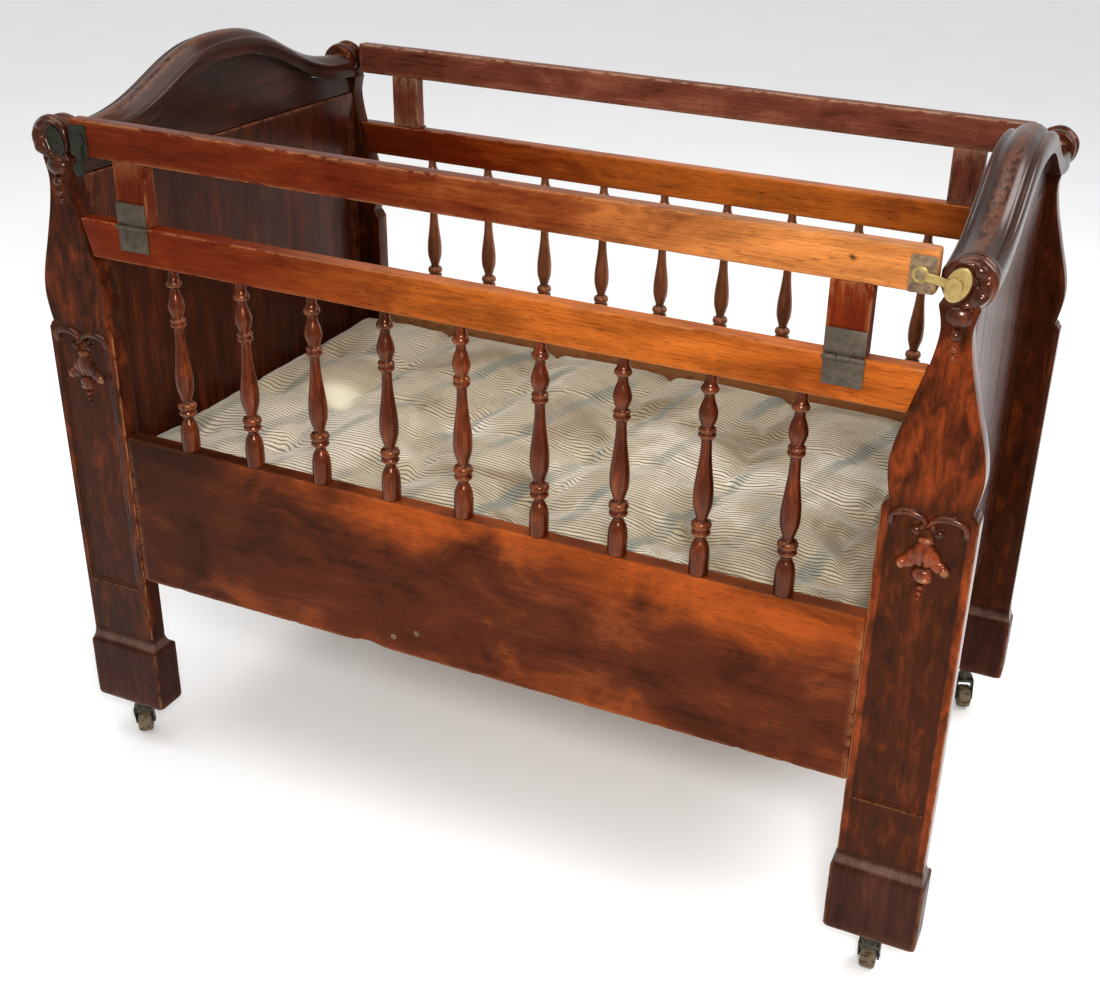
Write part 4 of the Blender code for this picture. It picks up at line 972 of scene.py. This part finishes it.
def simulate_pad(mesh, frames=20):
    """Inflate the pad with its tufts held down, which draws the puckers between them."""
    pad = put_in_scene("pad", mesh)
    points = vertices(mesh)
    middle = (points[:, 2].max() + points[:, 2].min()) / 2
    top = points[:, 2] > middle
    hold = pad.vertex_groups.new(name="hold")
    tied = tuft_weight(points, 0.011) > 0.25
    still = (points[:, 2] < points[:, 2].min() + 0.012) | (tied & top)
    hold.add([int(i) for i in np.nonzero(still)[0]], 1.0, "REPLACE")
    stitched = (seam_weight(points, 0.01) > 0.3) & top & ~still & (points[:, 2] > middle + 0.02)
    hold.add([int(i) for i in np.nonzero(stitched)[0]], 0.75, "REPLACE")
    depth = np.maximum(0.017 * tuft_weight(points, 0.045), 0.01 * seam_weight(points, 0.017)) * top
    for vertex, sink in zip(mesh.vertices, depth):
        vertex.co.z -= sink
    cloth = pad.modifiers.new("cloth", "CLOTH")
    for key, value in {"quality": 5, "mass": 0.3, "tension_stiffness": 12, "compression_stiffness": 12,
                       "shear_stiffness": 4, "bending_stiffness": 0.4, "use_pressure": True,
                       "uniform_pressure_force": 4, "vertex_group_mass": "hold", "shrink_min": -0.02}.items():
        setattr(cloth.settings, key, value)
    cloth.settings.effector_weights.gravity = 0
    cloth.collision_settings.use_collision = False
    cloth.collision_settings.use_self_collision = False
    cloth.point_cache.frame_start = 1
    cloth.point_cache.frame_end = frames
    scene = bpy.context.scene
    for number in range(1, frames + 1):
        scene.frame_set(number)
    result = bpy.data.meshes.new_from_object(pad.evaluated_get(bpy.context.evaluated_depsgraph_get()))
    bpy.data.objects.remove(pad, do_unlink=True)
    scene.frame_set(1)
    return result


def mattress_marks(points):
    """Painted shade at the tufts and towards the left end, and one bare pale patch where the stripes are worn off.
    """
    x, y, z = points.T
    # Painted shade: darker in the tuft dimples on top and towards the left end.
    return {"dirt": np.maximum(0.8 * tuft_weight(points, 0.016) * (z > 0.47), 0.55 * (1 - ease(-0.5, 0.05, x))),
            "zone": 1.3 * np.exp(-((x + 0.392) / 0.04) ** 2 - ((y + 0.018) / 0.026) ** 2)}


def build_mattress(paint):
    low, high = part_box("mattress")
    mesh = mattress_block(PAD_STEP)
    start = vertices(mesh)
    mesh = simulate_pad(mesh)
    shift = vertices(mesh) - start
    size = np.maximum(np.linalg.norm(shift, axis=1, keepdims=True), 1e-9)
    puffed = start + shift * np.minimum(1.0, PAD_SWELL / size)
    puffed = np.clip(puffed, [low.x, low.y, low.z + 0.0005], [high.x, high.y, PAD_TOP])
    mesh.vertices.foreach_set("co", puffed.astype(np.float32).ravel())
    mesh.update()
    piece = add_piece("tufted_mattress", mesh, paint["ticking"], "root", "ticking", ["mattress"], sharp=180,
                      marks=mattress_marks)
    smooth = piece.modifiers.new("smooth", "SUBSURF")
    smooth.levels = smooth.render_levels = 1


# ---------------------------------------------------------------- gates, hinges, latches
GATE_KNOTS = ((0.462, 0.944, 0.006), (-0.507, 0.934, 0.005))      # x, z and size
GATE_RAIL_LOW, STILE_NEAR, STILE_FAR, STILE_INSET = 0.917, 0.44, 0.4865, 0.0006


def gate_marks(points, side):
    """Dusty brown on top; orange to the right and knots in front; the back gate has painted shade to its left."""
    x, y, z = points.T
    dust = 0.52 * (z > z.max() - 0.0022)
    if side == "back":
        # Painted shade towards the left end of the back gate, with real dust on top.
        return {"dirt": np.maximum(dust, 0.5 * (1 - ease(-0.55, -0.1, x)))}
    for knot_x, knot_z, size in GATE_KNOTS:
        knot = 1.1 * np.exp(-((x - knot_x) / size) ** 2 - ((z - knot_z) / size / 0.6) ** 2)
        dust = np.maximum(dust, knot * (y < y.mean()))
    return {"dirt": dust, "zone": 0.06 + 0.2 * ease(-0.3, 0.2, x) + 0.7 * ease(0.06, 0.5, x)}


def build_gates(paint):
    for side, sign in SIDES.items():
        body = f"gate_{side}"
        low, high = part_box(body)
        start = Vector((low.x, low.y, GATE_RAIL_LOW))
        finish, warmth = (paint["gate"], 0.1) if side == "front" else (paint["back"], 0.0)
        rail = board(start, high, 0.0034, "x", 0.006, 0.0005, 14 + sign, spacing=0.006)
        add_piece(f"gate_rail_{side}", rail, finish, body, "rail_wood", [body], "x", seed=50 + sign,
                  marks=lambda p, s=side: gate_marks(p, s), wear=edge_wear(start, high, 0.0045, 0.72))
        for end, along in ENDS.items():
            near, far = sorted((along * STILE_NEAR, along * STILE_FAR))
            low_end = (near, low.y + STILE_INSET, low.z)
            high_end = (far, high.y - STILE_INSET, GATE_RAIL_LOW + 0.0005)
            stile = board(low_end, high_end, 0.0016, "z", 0.02, 0.0002, 16 + sign)
            # The left stiles take more painted shade than the right ones.
            add_piece(f"gate_stile_{side}_{end}", stile, finish, body, "rail_wood", (), "z",
                      seed=53 + sign + along, zone=warmth * along, dirt=0.42 if along < 0 else 0.22,
                      wear=edge_wear(low_end, high_end, 0.003, 0.6))


def screw_head(centre, sign, face, radius=0.0026, turn=0.5):
    """Flush slotted screw head in a plate; centre is (x, z)."""
    angles = np.linspace(0, 2 * math.pi, 20, endpoint=False)
    rings = []
    for share, rise in ((1.0, 0.0), (0.99, 0.0003), (0.85, 0.00045), (0.6, 0.0005), (0.35, 0.0005),
                        (0.05, 0.0005)):
        a, b = radius * share * np.cos(angles), radius * share * np.sin(angles)
        across = np.abs(a * math.cos(turn) + b * math.sin(turn))
        depth = face + rise - 0.0006 * (across < 0.0005) * (share < 0.95)
        rings.append(rows(centre[0] + a, sign * depth, centre[1] + b))
    base = rows(centre[0] + radius * np.cos(angles), sign * (face - 0.0008),
                centre[1] + radius * np.sin(angles))
    return loft([base] + rings)


HINGE_Y, HINGE_Z, KNUCKLE = 0.3423, 0.8345, 0.003


def hinge_shapes(along, sign):
    """Gate leaf and rail leaf, each with its knuckles and screws; the pin goes with the rail leaf."""
    near, far, tall = 0.4415, 0.4865, 0.032
    back, face = HINGE_Y - KNUCKLE, HINGE_Y - 0.0015
    cuts = np.linspace(near, far, 4)
    leaves = []
    for up, spans in ((1, [(1, 2)]), (-1, [(0, 1), (2, 3)])):
        outline = [(along * a, HINGE_Z + up * b) for a, b in
                   ((near, 0.0034), (far, 0.0034), (far, tall - 0.0012), (far - 0.0012, tall),
                    (near + 0.0012, tall), (near, tall - 0.0012))]
        shapes = [plate(outline, back, face, 0.0004, sign)]
        for first, last in spans:
            ends = sorted((along * cuts[first] + 0.0002 * along, along * cuts[last] - 0.0002 * along))
            barrel = [(ends[0], 0.0016), (ends[0], KNUCKLE - 0.0004), (ends[0] + 0.0004, KNUCKLE),
                      (ends[1] - 0.0004, KNUCKLE), (ends[1], KNUCKLE - 0.0004), (ends[1], 0.0016)]
            shapes.append(turned(barrel, 24, (sign * HINGE_Y, HINGE_Z), "x"))
            neck_outline = [(ends[0], HINGE_Z), (ends[1], HINGE_Z), (ends[1], HINGE_Z + up * 0.004),
                            (ends[0], HINGE_Z + up * 0.004)]
            shapes.append(plate(neck_outline, back, back + 0.0014, 0.0002, sign))
        for number, (share_x, share_z) in enumerate(((0.22, 0.5), (0.5, 0.78), (0.78, 0.5))):
            centre = (along * (near + (far - near) * share_x), HINGE_Z + up * tall * share_z)
            shapes.append(screw_head(centre, sign, face, 0.0026, 0.7 + number * 1.1))
        if up < 0:
            pin = [(along * (near - 0.001), 0.001), (along * (near - 0.0008), 0.0027),
                   (along * (near + 0.0004), 0.0027), (along * (near + 0.0004), 0.0012),
                   (along * (far - 0.0004), 0.0012), (along * (far - 0.0004), 0.0027),
                   (along * (far + 0.0008), 0.0027), (along * (far + 0.001), 0.001)]
            shapes.append(turned(pin, 16, (sign * HINGE_Y, HINGE_Z), "x"))
        leaves.append(join(*shapes))
    return leaves


EYE = (0.5325, 0.938)               # pivot of a latch arm, x and z
STUD = (0.5673, 0.9315)             # stud that its other end hooks over
PLATE_BACK, PLATE_FACE, PLATE_NEAR, PLATE_FAR = 0.3393, 0.3408, 0.5207, 0.5478


def arm_mesh(along, sign, angle):
    """Latch arm: a round eye, a bar and a thick round end with a slot behind for the stud."""
    reach = math.hypot(STUD[0] - EYE[0], STUD[1] - EYE[1])
    radius, half = 0.009, 0.0046
    spread = math.degrees(math.asin(half / radius))
    outline = circle((0, 0), radius, 30, spread, 360 - spread)
    outline += circle((reach, 0), radius, 30, -180 + spread, 180 - spread)
    back, front, tip = 0.3423, 0.3446, 0.3476
    flat = plate(outline, back, front, 0.0006, -1)
    end = turned([(-front + 0.0008, 0.0089), (-tip + 0.0008, 0.0089), (-tip + 0.0002, 0.0086),
                  (-tip, 0.0078), (-tip + 0.0002, 0.004), (-tip + 0.0002, 0.001)], 44, (reach, 0), "y")
    washer = turned([(-front + 0.0004, 0.0074), (-front - 0.0004, 0.0073), (-front - 0.0006, 0.0066)], 32,
                    axis="y")
    body = put_in_scene("arm", to_mesh("arm", join(flat, end, washer)))
    low, high = (reach - 0.0032, -back - 0.0028, -0.02), (reach + 0.0032, -back + 0.01, 0.0026)
    tool = put_in_scene("slot", to_mesh("slot", board(low, high, 0.0004, "z", 0.02, 0)))
    cut = body.modifiers.new("slot", "BOOLEAN")
    cut.operation = "DIFFERENCE"
    cut.solver = "EXACT"
    cut.use_self = True
    cut.object = tool
    result = applied(body, tool)
    turn = Matrix.Rotation(-angle, 4, "Y")
    place = Matrix.Translation((along * EYE[0], 0, EYE[1])) @ Matrix.Diagonal((along, -sign, 1, 1)) @ turn
    result.transform(place)
    if along * -sign < 0:
        result.flip_normals()
    return result


def latch_plate_shape(corner, along, sign):
    """Worn brass plate on the gate's rail, with two screws and the rivet of the arm."""
    low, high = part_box(f"latch_plate_{corner}")
    near, far = sorted((along * PLATE_NEAR, along * PLATE_FAR))
    ring = rounded_ring((near, low.z), (far, high.z), 0.0022, 3, 0.002, 0.004)
    ring = ring + 0.0006 * np.stack([ripple(rows(*ring.T, ring[:, 0]), 0.006, k) for k in (5, 6)], axis=1)
    sheet = plate(np.clip(ring, [near, low.z], [far, high.z]), PLATE_BACK, PLATE_FACE, 0.0004, sign)
    front = 0.3449
    rivet = turned([(sign * 0.34, 0.0023), (sign * front, 0.0023), (sign * front, 0.0054),
                    (sign * (front + 0.0008), 0.0052), (sign * (front + 0.0015), 0.004),
                    (sign * (front + 0.0018), 0.0012)], 28, (along * EYE[0], EYE[1]), "y")
    screws = [screw_head((along * 0.5245, z), sign, PLATE_FACE, 0.002, 0.4) for z in (0.9215, 0.9535)]
    return join(sheet, rivet, *screws)


def keeper_shape(along, sign):
    """Tilted oval keeper on the face of a knob, with its stud and two screws."""
    tilt_x, tilt_z = math.sin(KEEPER_TILT), math.cos(KEEPER_TILT)
    oval = []
    for a, b in circle((0, 0), 1.0, 40):
        wide, tall = KEEPER_WIDE * a, KEEPER_TALL * b
        oval.append((along * (KEEPER_X + wide * tilt_z + tall * tilt_x),
                     KEEPER_Z - wide * tilt_x + tall * tilt_z))
    stud = turned([(sign * 0.341, 0.0018), (sign * 0.3441, 0.0018), (sign * 0.3445, 0.0012)], 16,
                  (along * STUD[0], STUD[1]), "y")
    reach = 0.0148
    screws = [screw_head((along * (KEEPER_X + up * reach * tilt_x), KEEPER_Z + up * reach * tilt_z), sign,
                         0.34165, 0.002, 1.2 * up) for up in (-1, 1)]
    return join(plate(oval, 0.3403, 0.342, 0.0006, sign), stud, *screws)


def build_metalwork(paint):
    closed = math.atan2(STUD[1] - EYE[1], STUD[0] - EYE[0])
    for corner, (along, sign) in CORNERS.items():
        gate = "gate_front" if sign < 0 else "gate_back"
        angle = -math.pi / 2 if corner == "front_left" else closed
        plate_finish, finish = ("plate", "brass") if corner == "front_right" else ("patina", "patina")
        gate_leaf, rail_leaf = hinge_shapes(along, sign)
        for name, shape, look, body, slot, node, seed in (
                ("upper_hinge_leaf", gate_leaf, "iron", gate, "hinge_iron", "hinge_gate_leaf", 60),
                ("lower_hinge_leaf", rail_leaf, "iron", "root", "hinge_iron", "hinge_rail_leaf", 61),
                ("gate_latch_plate", latch_plate_shape(corner, along, sign), plate_finish, gate,
                 "latch_plate_brass", "latch_plate", 62 + along),
                ("post_keeper", keeper_shape(along, sign), finish, "root", "latch_brass", "latch_keeper",
                 64 + along),
                ("swing_arm", arm_mesh(along, sign, angle), finish, f"latch_arm_{corner}", "latch_brass",
                 "latch_arm", 66 + along)):
            add_piece(f"{name}_{corner}", shape, paint[look], body, slot, [f"{node}_{corner}"], "x", seed=seed,
                      sharp=35)


# ---------------------------------------------------------------- casters
CASTER_TURN = {"front_left": 35.0, "front_right": 4.0, "back_left": 155.0, "back_right": 200.0}
CASTER_Y, TRAIL, WHEEL_RADIUS, WHEEL_HALF = 0.322, 0.012, 0.0185, 0.01


def horn_shape():
    """Cast horn with its stem on the Z axis; the wheel trails towards +Y."""
    block_low = 0.072
    crown = turned([(0.098, 0.0045), (0.0965, 0.0052), (block_low - 0.001, 0.0052), (block_low - 0.001, 0.0146),
                    (block_low - 0.0016, 0.015), (block_low - 0.0028, 0.015), (block_low - 0.0036, 0.014),
                    (0.0665, 0.0098), (0.06, 0.0086), (0.056, 0.0096), (0.054, 0.0112), (0.05, 0.0118),
                    (0.047, 0.0112)], 32)
    inner, outer = WHEEL_HALF + 0.0012, WHEEL_HALF + 0.004
    shapes = [crown, board((-outer, -0.0085, 0.0442), (outer, 0.0135, 0.05), 0.0024, "x", 0.006, 0)]
    for side in (-1, 1):
        rings = []
        for share in np.linspace(0, 1, 9):
            z = 0.048 + (WHEEL_RADIUS - 0.048) * share
            centre = 0.0025 + (TRAIL - 0.0025) * share
            half = 0.01 - 0.0042 * share
            ring = rounded_ring((side * inner if side > 0 else -outer, centre - half),
                                (outer if side > 0 else -inner, centre + half), 0.0012, 3, 0.001, spans=(1, 1))
            rings.append(rows(*ring.T, z))
        shapes.append(loft(rings))
        boss = [(side * inner, 0.0058), (side * (outer - 0.0006), 0.0058), (side * outer, 0.0052)]
        shapes.append(turned(boss, 28, (TRAIL, WHEEL_RADIUS), "x"))
    reach = outer + 0.0009
    axle = [(-reach, 0.0014), (-reach + 0.0005, 0.0021), (reach - 0.0005, 0.0021), (reach, 0.0014)]
    shapes.append(turned(axle, 20, (TRAIL, WHEEL_RADIUS), "x"))
    return join(*shapes)


def wheel_shape():
    """Wooden roller with a bore, worn hollow at its edges."""
    half, radius, bore, segments = WHEEL_HALF, WHEEL_RADIUS, 0.0026, 44
    profile = [(-half, bore), (-half, radius - 0.0068), (-half + 0.0008, radius - 0.006),
               (-half + 0.0006, radius - 0.004), (-half + 0.0004, radius - 0.0026),
               (-half + 0.0014, radius - 0.001), (-half * 0.55, radius - 0.0001)]
    profile += [(0.0, radius)] + [(-a, r) for a, r in reversed(profile)]
    angles = np.linspace(0, 2 * math.pi, segments, endpoint=False)
    rings = [rows(a, TRAIL + r * np.cos(angles), radius + r * np.sin(angles)) for a, r in profile]
    points, faces = loft(rings, closed_ends=False)
    last = (len(rings) - 1) * segments
    faces += [(i, last + i, last + (i + 1) % segments, (i + 1) % segments) for i in range(segments)]
    return points, faces


def build_casters(paint):
    horn, wheel = horn_shape(), wheel_shape()
    for number, (corner, (along, sign)) in enumerate(CORNERS.items()):
        turn = np.radians(CASTER_TURN[corner])
        spin = np.array([[math.cos(turn), math.sin(turn), 0], [-math.sin(turn), math.cos(turn), 0], [0, 0, 1]])
        place = np.array([along * POST_X, sign * CASTER_Y, 0])
        for name, (points, faces), look, node, slot, grain, seed, levels in (
                ("cast_horn", horn, "caster", "caster_horn", "caster_iron", "z", 70, {}),
                ("roller", wheel, "wheel", "caster_wheel", "caster_wheel", "x", 74, {"dirt": 0.25, "wear": 0.4})):
            add_piece(f"{name}_{corner}", (points @ spin + place, faces), paint[look], f"{node}_{corner}", slot,
                      [f"{node}_{corner}"], grain, seed=seed + number, sharp=40, **levels)


# ---------------------------------------------------------------- studio
def build_camera():
    data = bpy.data.cameras.new("camera")
    data.sensor_width = 36.0
    data.lens = 45.42
    data.shift_x, data.shift_y = -0.0842, -0.0473
    camera = put_in_scene("camera", data)
    camera.location = (0.7657, -1.675, 1.3698)
    camera.rotation_euler = (1.1281, -0.0391, 0.3924)
    bpy.context.scene.camera = camera


def add_light(name, place, target, size, power):
    data = bpy.data.lights.new(name, "AREA")
    data.shape = "DISK"
    data.size = size
    data.energy = power
    light = put_in_scene(name, data)
    light.location = place
    light.rotation_euler = (Vector(target) - Vector(place)).to_track_quat("-Z", "Y").to_euler()


def build_studio():
    s = Shader("pale_floor")
    speck = s.noise(s.node("TexCoord", "Object"), 3.0)
    tint = s.mix(s.span(speck, 0.3, 0.7), (0.945, 0.945, 0.945), (0.965, 0.965, 0.965))
    floor_material = s.finish(Base_Color=tint, Roughness=0.9, Specular_IOR_Level=0.1)
    mesh = bpy.data.meshes.new("floor")
    mesh.from_pydata([(-30, -30, 0), (30, -30, 0), (30, 30, 0), (-30, 30, 0)], [], [(0, 1, 2, 3)])
    mesh.materials.append(floor_material)
    floor = put_in_scene("floor", mesh)
    floor.location.z = FLOOR_GAP
    world = bpy.data.worlds.new("soft_studio")
    world.use_nodes = True
    world.node_tree.nodes["Background"].inputs["Color"].default_value = (1.0, 1.0, 1.0, 1.0)
    world.node_tree.nodes["Background"].inputs["Strength"].default_value = 0.63
    bpy.context.scene.world = world
    add_light("key", (0.92, -1.75, 1.6), (0.0, 0.0, 0.6), 0.42, 26)
    add_light("overhead", (-0.3, -0.2, 3.4), (0.0, 0.0, 0.4), 3.0, 54)
    add_light("rim", (2.1, 0.9, 2.5), (0.5, 0.0, 0.9), 1.4, 34)
    bpy.context.scene.view_settings.view_transform = "Standard"
    bpy.context.scene.view_settings.look = "Medium High Contrast"


paint = make_materials()
build_camera()
build_studio()
for build in (build_posts, build_blocks, build_sides, build_ends, build_base, build_mattress, build_gates,
              build_metalwork, build_casters):
    build(paint)
